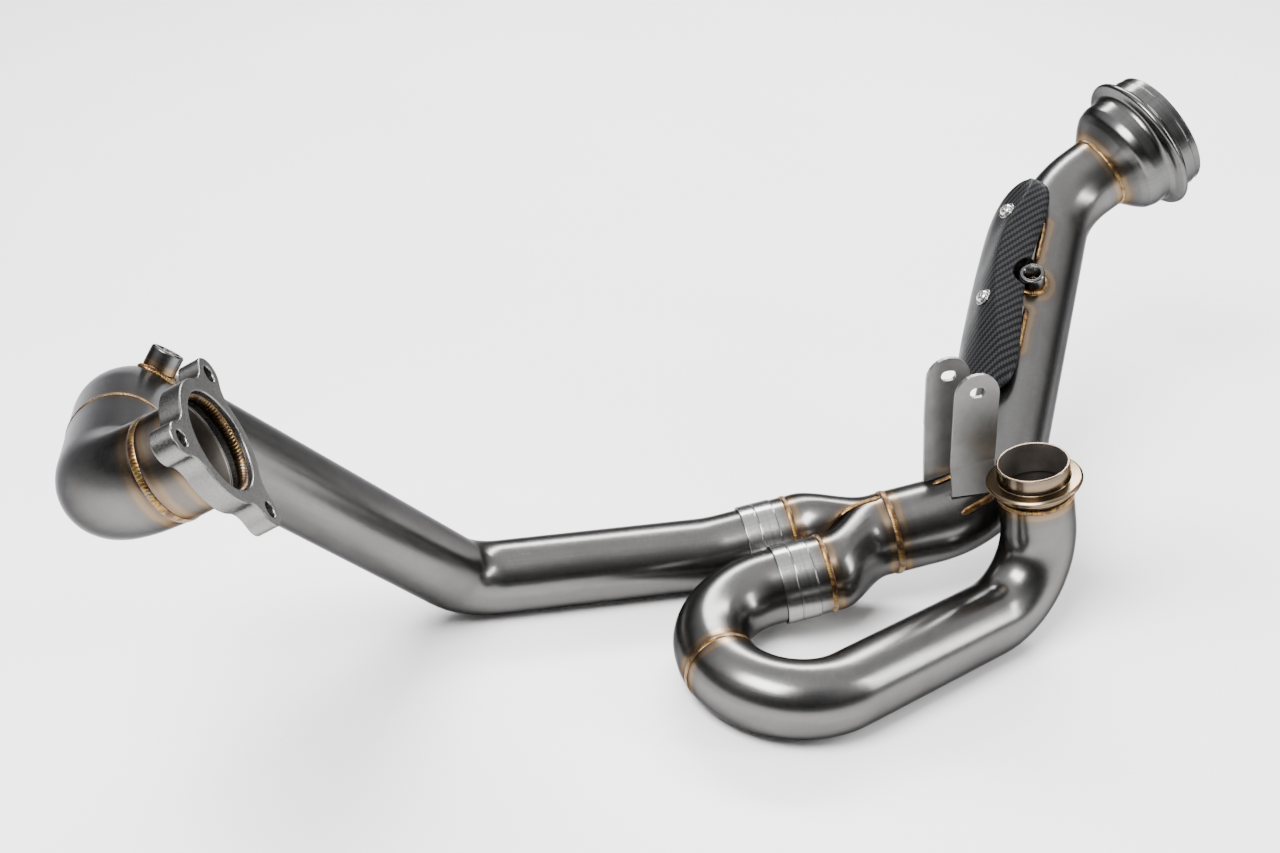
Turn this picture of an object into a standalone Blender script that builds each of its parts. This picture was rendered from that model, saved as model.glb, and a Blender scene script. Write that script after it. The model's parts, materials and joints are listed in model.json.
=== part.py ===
"""Two-into-one racing exhaust header, modelled as separate pieces.

Lengths in the constants are millimetres; mm() turns them into Blender's metres.
The exhaust rests on the floor (z = 0) on its two header pipes. +X runs along the
slip joints, from the headers towards the collector; +Z is up.
"""

import math

import bmesh
import bpy
from mathutils import Matrix, Vector

# ---- driving dimensions, millimetres ---------------------------------------

GAP = 0.3                       # air between pieces that touch or are cut apart
WALL = 1.5                      # sheet thickness of every tube
HEADER_R = 27.0                 # 54 mm header tube
MID_R = 30.75                   # 61.5 mm collector tail tube
TUBE_SIDES = 24
TURNED_STEPS = 24
ARC_STEP_DEG = 16.0             # one ring of faces per this much bend

SLIP_DIR = Vector((0.98, 0.0, 0.2)).normalized()   # slip joints and collector
SLIP_LENGTH = 35.0              # slip sleeve, mouth to weld
SLIP_DEPTH = 27.0               # how far a header tube sits in its sleeve

REAR_MOUTH = Vector((-97.3, 50.9, 32.2))
FRONT_MOUTH = Vector((-90.0, -15.3, 39.9))
COLLECTOR = Vector((3.0, 17.8, 55.4))

# Corner points of the pipe centrelines, each with the bend radius at that corner.
REAR_ROUTE = [
    (Vector((-469.9, -326.2, 373.5)), 0.0),        # machined face of the flange
    (Vector((-524.7, -319.2, 340.7)), 53.5),
    (Vector((-524.0, -104.3, 277.9)), 125.0),
    (Vector((-307.3, 42.1, 27.0)), 51.5),
    (Vector((-123.0, 50.9, 27.0)), 97.0),
    (REAR_MOUTH + SLIP_DIR * SLIP_DEPTH, 0.0),
]
FRONT_ROUTE = [
    (Vector((85.4, -29.8, 137.8)), 0.0),           # rim of the port collar
    (Vector((109.5, -33.4, 27.0)), 53.0),
    (Vector((-154.4, -171.4, 28.6)), 56.0),
    (FRONT_MOUTH - SLIP_DIR * 59.4, 56.0),
    (FRONT_MOUTH + SLIP_DIR * SLIP_DEPTH, 0.0),
]
TAIL_ROUTE = [
    (COLLECTOR, 0.0),
    (COLLECTOR + SLIP_DIR * 82.0, 85.0),
    (Vector((208.6, 259.4, 202.0)), 85.0),
    (Vector((249.2, 269.8, 224.9)), 0.0),          # weld of the outlet cup
]

FLANGE_THICK = 12.0
FLANGE_BORE_R = 26.0
FLANGE_HUB_R = 33.0
FLANGE_BOLT_R = 41.8            # bolt circle radius
FLANGE_EAR_R = 9.0
FLANGE_FILLET_R = 14.0
FLANGE_HOLE_R = 4.2
FLANGE_CLOCK_DEG = 54.0         # where the first ear points, about the bore

REAR_WELD_1 = 30.0              # stub to first elbow, from the flange face
REAR_WELD_2 = 163.0             # first elbow to long pipe
FRONT_WELD = 383.0              # down pipe to U-bend, from the collar rim

COLLAR_RIM_R = 26.0
COLLAR_LIP_R = 34.4
COLLAR_LENGTH = 24.0

BEAD_HEIGHT = 1.1               # weld bead over the tube
BEAD_WIDTH = 5.0
SEAM_R = 1.2                    # bead in the valley between the merge legs
LEG_STEPS = 9                   # sections along each merge leg

BUNG_R = 9.8
BUNG_HOLE_R = 6.0
BUNG_HEIGHT = 13.0
REAR_BUNG_AT = 256.0            # along the rear route
TAIL_BUNG_AT = 263.0            # along the tail route

BEAD_FLANGE_R = 58.5
SPIGOT_R = 50.0

PLATE = 3.0                     # hanger plate thickness
HANGER_WIDTH = 33.0
HANGER_UP = Vector((-0.07, 0.0, 1.0)).normalized()
HANGER_ALONG = Vector((1.0, 0.0, 0.07)).normalized()
FRONT_EYE = Vector((52.6, 8.0, 175.7))
REAR_EYE = Vector((39.5, 33.0, 176.9))
SLOT_LENGTH = 11.5
SLOT_WIDTH = 8.2

SHIELD_R = 50.0                 # carbon shield, measured from the tube axis
SHIELD_THICK = 1.4
SHIELD_DIP = 4.0                # how much closer to the pipe its ends are
SHIELD_MIDDLE = 184.0           # along the tail pipe from its first corner
SHIELD_HALF = 105.0
NOTCH_R = 14.5                  # room round the sensor bung
SHIELD_FACING = Vector((-0.159, -0.398, 0.903))
TAB_HALF = 21.0

PARTS = "racing_exhaust_system"
CUTTERS = "cutters"


# ---- helpers ----------------------------------------------------------------

def mm(value):
    """Millimetres to metres, for a number or a vector."""
    return value * 0.001


def clear_scene():
    for item in list(bpy.data.objects):
        bpy.data.objects.remove(item, do_unlink=True)


def make_collection(name):
    collection = bpy.data.collections.new(name)
    bpy.context.scene.collection.children.link(collection)
    return collection


def make_material(name, color, roughness, metallic):
    material = bpy.data.materials.new(name)
    material.use_nodes = True
    shader = material.node_tree.nodes["Principled BSDF"]
    shader.inputs["Base Color"].default_value = (*color, 1.0)
    shader.inputs["Roughness"].default_value = roughness
    shader.inputs["Metallic"].default_value = metallic
    return material


def add_object(name, mesh, material, collection=PARTS, smooth=True):
    obj = bpy.data.objects.new(name, mesh)
    bpy.data.collections[collection].objects.link(obj)
    mesh.materials.clear()
    if material is not None:
        mesh.materials.append(material)
    for polygon in mesh.polygons:
        polygon.use_smooth = smooth
    return obj


def frame_at(origin, axis, towards=Vector((0.0, 0.0, 1.0))):
    """Matrix with local Z on the axis and local X as near 'towards' as it can be."""
    z = axis.normalized()
    x = (towards - z * towards.dot(z)).normalized()
    y = z.cross(x)
    matrix = Matrix((x, y, z)).transposed().to_4x4()
    matrix.translation = mm(origin)
    return matrix


def apply_modifiers(obj):
    """Replace the object's mesh with its evaluated mesh."""
    depsgraph = bpy.context.evaluated_depsgraph_get()
    mesh = bpy.data.meshes.new_from_object(obj.evaluated_get(depsgraph))
    obj.modifiers.clear()
    obj.data = mesh


def face_outwards(mesh):
    bm = bmesh.new()
    bm.from_mesh(mesh)
    bmesh.ops.remove_doubles(bm, verts=bm.verts, dist=1e-6)
    bmesh.ops.recalc_face_normals(bm, faces=bm.faces)
    bm.to_mesh(mesh)
    bm.free()


def mesh_from_curve(curve):
    """Turn a curve into a mesh with its seams closed and its faces outwards."""
    carrier = bpy.data.objects.new(curve.name, curve)
    bpy.context.scene.collection.objects.link(carrier)
    depsgraph = bpy.context.evaluated_depsgraph_get()
    mesh = bpy.data.meshes.new_from_object(carrier.evaluated_get(depsgraph))
    bpy.data.objects.remove(carrier, do_unlink=True)
    face_outwards(mesh)
    return mesh


def boolean(obj, cutter, operation="DIFFERENCE"):
    modifier = obj.modifiers.new(operation.lower(), "BOOLEAN")
    modifier.object = cutter
    modifier.operation = operation
    modifier.solver = "EXACT"


def hide_cutter(obj):
    obj.hide_render = True
    obj.display_type = "WIRE"
    return obj


# ---- centrelines ------------------------------------------------------------

def rounded_route(corners):
    """Points along a route of straight legs joined by arcs of the given radii."""
    points = [corners[0][0].copy()]
    for before, here, after in zip(corners, corners[1:], corners[2:]):
        corner, radius = here
        way_in = (corner - before[0]).normalized()
        way_out = (after[0] - corner).normalized()
        turn = way_in.angle(way_out)
        tangent = radius * math.tan(turn / 2)
        start = corner - way_in * tangent
        normal = (way_out - way_in * way_out.dot(way_in)).normalized()
        centre = start + normal * radius
        steps = max(2, math.ceil(math.degrees(turn) / ARC_STEP_DEG))
        for step in range(steps + 1):
            angle = turn * step / steps
            offset = way_in * math.sin(angle) - normal * math.cos(angle)
            points.append(centre + offset * radius)
    points.append(corners[-1][0].copy())
    return points


def route_lengths(points):
    lengths = [0.0]
    for a, b in zip(points, points[1:]):
        lengths.append(lengths[-1] + (b - a).length)
    return lengths


def at_distance(points, distance):
    """Point and direction at a distance along a route."""
    lengths = route_lengths(points)
    for index in range(len(points) - 1):
        if lengths[index + 1] >= distance:
            break
    a, b = points[index], points[index + 1]
    share = (distance - lengths[index]) / (lengths[index + 1] - lengths[index])
    return a.lerp(b, share), (b - a).normalized()


def middle_of_facet(points, distance):
    """The nearest cut that is square to one straight facet of the route."""
    lengths = route_lengths(points)
    for low, high in zip(lengths, lengths[1:]):
        if low <= distance <= high:
            break
    return (low + high) / 2 if high - low < 20.0 else distance


def part_of_route(points, start, end):
    """The stretch of a route between two distances."""
    lengths = route_lengths(points)
    middle = [p for p, s in zip(points, lengths) if start + 0.6 < s < end - 0.6]
    return [at_distance(points, start)[0], *middle, at_distance(points, end)[0]]


# ---- shapes -----------------------------------------------------------------

def tube_mesh(name, points, radius, radius_at=None, caps=False):
    """Round skin swept along the points: a poly curve with a round bevel."""
    curve = bpy.data.curves.new(name, "CURVE")
    curve.dimensions = "3D"
    curve.twist_mode = "MINIMUM"
    curve.bevel_depth = mm(radius)
    curve.bevel_resolution = (TUBE_SIDES - 4) // 2
    curve.use_fill_caps = caps
    spline = curve.splines.new("POLY")
    spline.points.add(len(points) - 1)
    for index, point in enumerate(points):
        spline.points[index].co = (*mm(point), 1.0)
        if radius_at is not None:
            spline.points[index].radius = radius_at[index] / radius
    return mesh_from_curve(curve)


def thicken(obj, thickness=WALL):
    solidify = obj.modifiers.new("wall", "SOLIDIFY")
    solidify.thickness = mm(thickness)
    solidify.offset = -1.0


def add_tube(name, points, radius, material, radius_at=None):
    """A bent tube with a sheet-metal wall."""
    obj = add_object(name, tube_mesh(name, points, radius, radius_at), material)
    thicken(obj)
    return obj


def add_turned(name, profile, placing, material, steps=TURNED_STEPS):
    """A turned ring: (radius, height) points round its section, spun about Z."""
    bm = bmesh.new()
    ring = [bm.verts.new((mm(r), 0.0, mm(z))) for r, z in profile]
    for a, b in zip(ring, ring[1:] + ring[:1]):
        bm.edges.new((a, b))
    mesh = bpy.data.meshes.new(name)
    bm.to_mesh(mesh)
    bm.free()
    obj = add_object(name, mesh, material)
    obj.matrix_world = placing
    screw = obj.modifiers.new("turn", "SCREW")
    screw.axis = "Z"
    screw.steps = steps
    screw.render_steps = steps
    screw.use_merge_vertices = True
    screw.merge_threshold = 0.00001
    apply_modifiers(obj)
    face_outwards(obj.data)
    return obj


def add_bead(name, points, distance, radius, material, width=BEAD_WIDTH):
    """A weld bead laid round a tube at a distance along its route."""
    point, direction = at_distance(points, distance)
    inner = radius + GAP
    half = width / 2
    profile = [(inner, half), (inner + 0.7 * BEAD_HEIGHT, half * 0.62),
               (inner + BEAD_HEIGHT, 0.0),
               (inner + 0.7 * BEAD_HEIGHT, -half * 0.62), (inner, -half)]
    return add_turned(name, profile, frame_at(point, direction), material)


def add_line_bead(name, points, radius, material):
    """A closed bead of weld along a line of points."""
    curve = bpy.data.curves.new(name, "CURVE")
    curve.dimensions = "3D"
    curve.bevel_depth = mm(radius)
    curve.bevel_resolution = 2
    curve.use_fill_caps = True
    spline = curve.splines.new("POLY")
    spline.points.add(len(points) - 1)
    for index, point in enumerate(points):
        spline.points[index].co = (*mm(point), 1.0)
    return add_object(name, mesh_from_curve(curve), material)


def add_outline(name, loops, thickness, material, collection=PARTS):
    """A flat plate from closed 2D outlines, extruded either side of local Z = 0."""
    curve = bpy.data.curves.new(name, "CURVE")
    curve.dimensions = "2D"
    curve.fill_mode = "BOTH"
    curve.extrude = mm(thickness) / 2
    for loop in loops:
        spline = curve.splines.new("POLY")
        spline.points.add(len(loop) - 1)
        for index, (x, y) in enumerate(loop):
            spline.points[index].co = (mm(x), mm(y), 0.0, 1.0)
        spline.use_cyclic_u = True
    return add_object(name, mesh_from_curve(curve), material, collection, smooth=False)


def arc(cx, cy, radius, start_deg, end_deg, steps):
    """Points on an arc in a 2D outline."""
    points = []
    for step in range(steps + 1):
        angle = math.radians(start_deg + (end_deg - start_deg) * step / steps)
        points.append((cx + radius * math.cos(angle), cy + radius * math.sin(angle)))
    return points


def slot_outline(cx, cy, length, width, steps=6):
    """A slot along local X with round ends."""
    r = width / 2
    half = length / 2 - r
    return arc(cx + half, cy, r, -90, 90, steps) + arc(cx - half, cy, r, 90, 270, steps)


def add_rod(name, radius, length, placing, steps=16):
    """A plain cylinder along local Z from 0 to length, used for drilling."""
    mesh = bpy.data.meshes.new(name)
    bm = bmesh.new()
    lift = Matrix.Translation((0.0, 0.0, mm(length) / 2))
    bmesh.ops.create_cone(bm, cap_ends=True, segments=steps, radius1=mm(radius),
                          radius2=mm(radius), depth=mm(length), matrix=lift)
    bm.to_mesh(mesh)
    bm.free()
    obj = add_object(name, mesh, None, CUTTERS)
    obj.matrix_world = placing
    return hide_cutter(obj)


# ---- rear header ------------------------------------------------------------

def triangle_angle(beside, other, opposite):
    """Angle in degrees between two sides of a triangle, from its three sides."""
    cosine = (beside ** 2 + other ** 2 - opposite ** 2) / (2 * beside * other)
    return math.degrees(math.acos(cosine))


def flange_outline():
    """Three ears joined to a round hub by hollow fillets."""
    hub = FLANGE_HUB_R + FLANGE_FILLET_R
    ear = FLANGE_EAR_R + FLANGE_FILLET_R
    swing = triangle_angle(FLANGE_BOLT_R, hub, ear)
    reach = 180.0 - triangle_angle(FLANGE_BOLT_R, ear, hub)
    outline = []
    for number in range(3):
        heading = FLANGE_CLOCK_DEG + 120.0 * number
        cx = FLANGE_BOLT_R * math.cos(math.radians(heading))
        cy = FLANGE_BOLT_R * math.sin(math.radians(heading))
        before = math.radians(heading - swing)
        after = math.radians(heading + swing)
        outline += arc(hub * math.cos(before), hub * math.sin(before), FLANGE_FILLET_R,
                       heading - swing + 180, heading - reach + 180, 4)
        outline += arc(cx, cy, FLANGE_EAR_R, heading - reach, heading + reach, 8)[1:-1]
        outline += arc(hub * math.cos(after), hub * math.sin(after), FLANGE_FILLET_R,
                       heading + reach + 180, heading + swing + 180, 4)
        outline += arc(0, 0, FLANGE_HUB_R, heading + swing, heading + 120 - swing, 4)[1:-1]
    return outline


def rear_flange(points, steel):
    face, direction = at_distance(points, 0.0)
    middle = face + direction * FLANGE_THICK / 2
    loops = [flange_outline(), arc(0, 0, FLANGE_BORE_R, 0, 348, 29)]
    for ear in range(3):
        heading = math.radians(FLANGE_CLOCK_DEG + 120.0 * ear)
        cx = FLANGE_BOLT_R * math.cos(heading)
        cy = FLANGE_BOLT_R * math.sin(heading)
        loops.append(arc(cx, cy, FLANGE_HOLE_R, 0, 330, 11))
    flange = add_outline("rear_port_flange", loops, FLANGE_THICK, steel)
    flange.matrix_world = frame_at(middle, -direction)


def rear_header(steel, machined, weld):
    points = rounded_route(REAR_ROUTE)
    total = route_lengths(points)[-1]
    first = middle_of_facet(points, REAR_WELD_1)
    second = middle_of_facet(points, REAR_WELD_2)
    rear_flange(points, machined)
    stub = part_of_route(points, FLANGE_THICK + GAP, first - GAP / 2)
    add_tube("rear_port_stub", stub, HEADER_R, steel)
    bend = part_of_route(points, first + GAP / 2, second - GAP / 2)
    add_tube("rear_elbow", bend, HEADER_R, steel)
    rest = part_of_route(points, second + GAP / 2, total)
    pipe = add_tube("rear_long_pipe", rest, HEADER_R, steel)
    bead = [(25.5, -7.8), (24.4, -7.2), (23.9, -5.6), (24.4, -4.0), (25.5, -3.4)]
    face, direction = at_distance(points, 0.0)
    add_turned("rear_flange_weld", bead, frame_at(face, -direction), weld)
    add_bead("rear_stub_weld", points, first, HEADER_R, weld)
    add_bead("rear_elbow_weld", points, second, HEADER_R, weld)
    return points, pipe


# ---- front header -----------------------------------------------------------

def front_collar(points, machined):
    """Slip-in port collar: thin rim, flared seat and a root that joins the tube."""
    rim, direction = at_distance(points, 0.0)
    inner = HEADER_R - WALL - 1.3
    profile = [
        (COLLAR_RIM_R - 0.4, 0.0), (COLLAR_RIM_R, -0.5), (COLLAR_RIM_R, -12.4),
        (COLLAR_LIP_R - 1.6, -12.9), (COLLAR_LIP_R, -14.3), (COLLAR_LIP_R - 0.8, -16.6),
        (HEADER_R + 2.4, -18.0), (HEADER_R + 2.4, -20.2), (HEADER_R, -COLLAR_LENGTH),
        (inner, -COLLAR_LENGTH), (inner, 0.0),
    ]
    add_turned("front_port_collar", profile, frame_at(rim, -direction), machined)


def front_header(steel, machined, weld):
    points = rounded_route(FRONT_ROUTE)
    total = route_lengths(points)[-1]
    cut = middle_of_facet(points, FRONT_WELD)
    front_collar(points, machined)
    down = part_of_route(points, COLLAR_LENGTH + GAP, cut - GAP / 2)
    add_tube("front_down_pipe", down, HEADER_R, steel)
    bend = part_of_route(points, cut + GAP / 2, total)
    add_tube("front_u_bend", bend, HEADER_R, steel)
    add_bead("front_collar_weld", points, COLLAR_LENGTH + 2.0, HEADER_R, weld, 3.4)
    add_bead("front_u_bend_weld", points, cut, HEADER_R, weld)
    return points


# ---- collector and tail -----------------------------------------------------

def slip_sleeve(name, mouth, machined):
    """Machined sleeve: a header tube slides in from the mouth down to the shoulder."""
    bore = HEADER_R + GAP + 0.1
    end_bore = HEADER_R - WALL
    outer = HEADER_R + 1.9
    profile = [
        (bore, 0.0), (outer - 0.3, 0.0), (outer, 0.4), (outer, 10.4), (outer - 0.4, 10.7),
        (outer - 0.4, 11.5), (outer, 11.8), (outer, 24.4), (HEADER_R + 1.2, 25.0),
        (HEADER_R + 1.2, SLIP_LENGTH), (end_bore, SLIP_LENGTH),
        (end_bore, SLIP_DEPTH + 1.0), (bore, SLIP_DEPTH + 1.0),
    ]
    add_turned(name, profile, frame_at(mouth, SLIP_DIR), machined)


def merge_plane():
    """Middle point and normal of the plane where the two merge legs meet."""
    across = REAR_MOUTH - FRONT_MOUTH
    across -= SLIP_DIR * across.dot(SLIP_DIR)
    return COLLECTOR, across.normalized()


def leg_section(mouth, behind):
    """Centre and radius of a merge leg's round section, square to the collector."""
    start = (COLLECTOR - mouth).dot(SLIP_DIR) - SLIP_LENGTH - GAP
    share = min(max((start - behind) / (start - GAP), 0.0), 1.0)
    bend = min(max((share - 0.1) / 0.78, 0.0), 1.0)
    offset = mouth - COLLECTOR
    offset -= SLIP_DIR * offset.dot(SLIP_DIR)
    centre = COLLECTOR - SLIP_DIR * behind
    centre += offset * (1.0 - bend * bend * (3.0 - 2.0 * bend))
    return centre, HEADER_R + 1.0 + (MID_R - HEADER_R - 1.0) * share


def merge_leg(name, mouth, side, steel):
    """One leg of the two-into-one merge, trimmed where it meets the other leg."""
    start = (COLLECTOR - mouth).dot(SLIP_DIR) - SLIP_LENGTH - GAP
    behinds = [start + (GAP - start) * step / LEG_STEPS for step in range(LEG_STEPS + 1)]
    line = [COLLECTOR - SLIP_DIR * behind for behind in behinds]
    radii = [leg_section(mouth, behind)[1] for behind in behinds]
    mesh = tube_mesh(name, line, MID_R, radii)
    for vert in mesh.vertices:
        behind = (COLLECTOR - vert.co * 1000.0).dot(SLIP_DIR)
        centre = leg_section(mouth, behind)[0]
        vert.co += mm(centre - COLLECTOR + SLIP_DIR * behind)
    leg = add_object(name, mesh, steel)
    thicken(leg)
    middle, across = merge_plane()
    block = add_rod(name + "_trim", 90.0, 90.0,
                    frame_at(middle + across * side * GAP / 2, -across * side), 8)
    boolean(leg, block)


def valley_height(mouth, behind):
    """How high a bead must lie in the middle plane to clear one leg's skin."""
    middle, across = merge_plane()
    centre, radius = leg_section(mouth, behind)
    off = abs((centre - middle).dot(across))
    half = math.sqrt(max(radius * radius - off * off, 1.0))
    return half + (SEAM_R + GAP + 1.5) * radius / half


def merge_seam(name, side, weld):
    """Weld bead lying in the valley between the two merge legs."""
    middle, across = merge_plane()
    up = across.cross(SLIP_DIR).normalized()
    points = []
    for step in range(8):
        behind = 33.0 - 28.0 * step / 7
        height = max(valley_height(REAR_MOUTH, behind), valley_height(FRONT_MOUTH, behind))
        points.append(middle - SLIP_DIR * behind + up * side * height)
    add_line_bead(name, points, SEAM_R, weld)


def collector(steel, machined, weld):
    for name, mouth, side in (("rear", REAR_MOUTH, 1), ("front", FRONT_MOUTH, -1)):
        slip_sleeve(name + "_slip_sleeve", mouth, machined)
        merge_leg(name + "_merge_leg", mouth, side, steel)
        line = [mouth, mouth + SLIP_DIR * 60.0]
        add_bead(name + "_sleeve_weld", line, SLIP_LENGTH + 0.2, HEADER_R + 1.3, weld, 4.0)
    line = [COLLECTOR - SLIP_DIR * 10.0, COLLECTOR + SLIP_DIR * 10.0]
    add_bead("collector_weld", line, 10.0, MID_R, weld)
    merge_seam("merge_seam_weld_upper", 1, weld)
    merge_seam("merge_seam_weld_lower", -1, weld)


def outlet_cup(points, steel, machined, weld):
    """Spun cup from the tail tube out to the bead, and the machined spigot."""
    end, direction = points[-1], (points[-1] - points[-2]).normalized()
    placing = frame_at(end, direction)
    inner = MID_R - WALL
    cup = [
        (MID_R, GAP / 2), (MID_R + 3.4, 3.0), (41.5, 10.0), (46.2, 15.5), (48.4, 22.0),
        (48.6, 33.0), (50.4, 36.6), (BEAD_FLANGE_R - 1.3, 38.8), (BEAD_FLANGE_R, 41.2),
        (BEAD_FLANGE_R - 1.0, 43.8), (SPIGOT_R - 0.4, 43.8), (SPIGOT_R - 3.6, 43.8),
        (46.9, 33.0), (46.7, 22.4), (44.6, 16.6), (40.4, 11.6), (inner, 2.6),
        (inner, GAP / 2),
    ]
    add_turned("outlet_cup", cup, placing, steel, 26)
    spigot = [
        (SPIGOT_R - 3.4, 43.8 + GAP), (SPIGOT_R, 43.8 + GAP), (SPIGOT_R, 47.5),
        (SPIGOT_R + 0.8, 48.0), (SPIGOT_R + 0.8, 57.0), (SPIGOT_R, 57.5), (SPIGOT_R, 63.0),
        (SPIGOT_R - 0.8, 63.8), (SPIGOT_R - 3.4, 63.8),
    ]
    add_turned("outlet_spigot", spigot, placing, machined, 26)
    line = [end - direction * 10.0, end + direction * 10.0]
    add_bead("outlet_cup_weld", line, 7.9, MID_R, weld, 3.6)
    return direction


# ---- sensor bungs -----------------------------------------------------------

def bung(name, points, distance, radius, towards, tube, machined, weld):
    """Threaded sensor boss with its tube drilled through, and its weld fillet."""
    centre, direction = at_distance(points, distance)
    outward = (towards - direction * towards.dot(direction)).normalized()
    foot = centre + outward * radius
    top = BUNG_HEIGHT
    base = 1.6
    profile = [
        (BUNG_HOLE_R, base), (BUNG_R, base), (BUNG_R, top - 0.8), (BUNG_R - 0.8, top),
        (BUNG_HOLE_R + 0.7, top), (BUNG_HOLE_R, top - 0.7),
    ]
    placing = frame_at(foot, outward, direction)
    add_turned(name, profile, placing, machined, 20)
    fillet = [(BUNG_R + GAP, base + 0.4), (BUNG_R + 2.6, base + 0.2),
              (BUNG_R + 1.8, base + 1.8), (BUNG_R + GAP, base + 3.2)]
    add_turned(name + "_weld", fillet, placing, weld, 20)
    below = frame_at(foot - outward * 12.0, outward)
    drill = add_rod(name + "_drill", BUNG_HOLE_R, 24.0, below)
    boolean(tube, drill)
    return foot, outward


# ---- hangers ----------------------------------------------------------------

def hanger(name, eye, fold_drop, foot_length, foot_lean_deg, material):
    """Folded lug: an upright plate with a slotted eye on a shorter leaning foot."""
    along, up = HANGER_ALONG, HANGER_UP
    out = along.cross(up)
    half = HANGER_WIDTH / 2
    slope = SLIP_DIR.z * half * 0.6
    outline = [(-half, -fold_drop - slope), (half, -fold_drop + slope)]
    outline += arc(0.0, -2.0, half, 0, 180, 12)
    plate = add_outline(name, [outline, slot_outline(0.0, 0.0, SLOT_LENGTH, SLOT_WIDTH)],
                        PLATE, material)
    placing = Matrix((along, up, out)).transposed().to_4x4()
    placing.translation = mm(eye)
    plate.matrix_world = placing

    fold = eye - up * fold_drop
    lean = math.radians(foot_lean_deg)
    down = (out * math.sin(lean) - up * math.cos(lean)).normalized()
    width = (SLIP_DIR - down * SLIP_DIR.dot(down)).normalized()
    mesh = bpy.data.meshes.new(name + "_foot")
    bm = bmesh.new()
    bmesh.ops.create_cube(bm, size=1.0)
    size = (mm(HANGER_WIDTH - 0.6), mm(foot_length + 1.5), mm(PLATE - 0.02))
    bmesh.ops.scale(bm, vec=size, verts=bm.verts)
    bm.to_mesh(mesh)
    bm.free()
    foot = hide_cutter(add_object(name + "_foot", mesh, None, CUTTERS, smooth=False))
    turn = Matrix((width, -down, width.cross(-down))).transposed().to_4x4()
    turn.translation = mm(fold + down * (foot_length / 2 - 0.75))
    foot.matrix_world = turn
    boolean(plate, foot, "UNION")
    return plate, fold + down * foot_length


def hanger_weld(name, tail, toe, weld):
    """Fillet along the foot of a hanger, following the tail pipe's skin."""
    middle = min(range(5, 150), key=lambda s: (at_distance(tail, s)[0] - toe).length)
    outward = toe - at_distance(tail, middle)[0]
    points = []
    for step in range(5):
        centre, direction = at_distance(tail, middle + 6.0 * (step - 2))
        lift = (outward - direction * outward.dot(direction)).normalized()
        lift.rotate(Matrix.Rotation(math.radians(16.5), 3, direction))
        points.append(centre + lift * (MID_R + GAP + 2.0))
    add_line_bead(name, points, 1.6, weld)


def hangers(tail, plate, weld):
    """Both lugs, with their feet cut to sit on the tail pipe's skin."""
    skin = tube_mesh("tail_skin", part_of_route(tail, 1.0, 200.0), MID_R + GAP, caps=True)
    skin = hide_cutter(add_object("tail_skin", skin, None, CUTTERS))
    for name, eye, fold_drop, foot_length, lean in (
            ("front_hanger", FRONT_EYE, 59.0, 24.0, 14.0),
            ("rear_hanger", REAR_EYE, 37.0, 50.0, 5.0)):
        lug, toe = hanger(name, eye, fold_drop, foot_length, lean, plate)
        boolean(lug, skin)
        hanger_weld(name + "_weld", tail, toe, weld)


# ---- heat shield ------------------------------------------------------------

def shield_frame():
    """Start, direction, facing and side directions of the tail pipe under the shield."""
    start = TAIL_ROUTE[1][0]
    along = (TAIL_ROUTE[2][0] - start).normalized()
    facing = SHIELD_FACING - along * SHIELD_FACING.dot(along)
    facing.normalize()
    return start, along, facing, along.cross(facing)


def round_tail(distance, angle_deg, radius):
    """A point round the tail pipe: along it, about it and out from its axis."""
    start, along, facing, side = shield_frame()
    angle = math.radians(angle_deg)
    outward = facing * math.cos(angle) + side * math.sin(angle)
    return start + along * distance + outward * radius


def add_patch(name, place, rows, columns, thickness, material):
    """A thin shell over a grid: place(u, v) gives a point for u, v from -1 to 1."""
    bm = bmesh.new()
    bmesh.ops.create_grid(bm, x_segments=rows, y_segments=columns, size=1.0)
    for vert in bm.verts:
        vert.co = mm(place(vert.co.x, vert.co.y))
    bmesh.ops.recalc_face_normals(bm, faces=bm.faces)
    mesh = bpy.data.meshes.new(name)
    bm.to_mesh(mesh)
    bm.free()
    obj = add_object(name, mesh, material)
    solidify = obj.modifiers.new("sheet", "SOLIDIFY")
    solidify.thickness = mm(thickness)
    solidify.offset = 0.0
    apply_modifiers(obj)
    face_outwards(obj.data)
    return obj


def shield_place(u, v):
    """Long rounded cover: narrower and swung towards the front at both ends."""
    end = math.sqrt(max(1.0 - abs(u) ** 3, 0.0)) * 0.96 + 0.04
    angle = -60.0 + 32.0 * u * u + 47.0 * v * end
    radius = SHIELD_R - SHIELD_DIP * u * u - 4.5 * max(v, 0.0) ** 2
    return round_tail(SHIELD_MIDDLE + SHIELD_HALF * u, angle, radius)


def tab_place(distance, reach_deg):
    def place(u, v):
        angle = -14.0 - (v + 1.0) / 2 * reach_deg
        rise = min((v + 1.0) / 0.7, 1.0)
        radius = MID_R + 1.4 + 9.0 * rise * rise * (3.0 - 2.0 * rise)
        return round_tail(distance + TAB_HALF * u, angle, radius)
    return place


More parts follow.
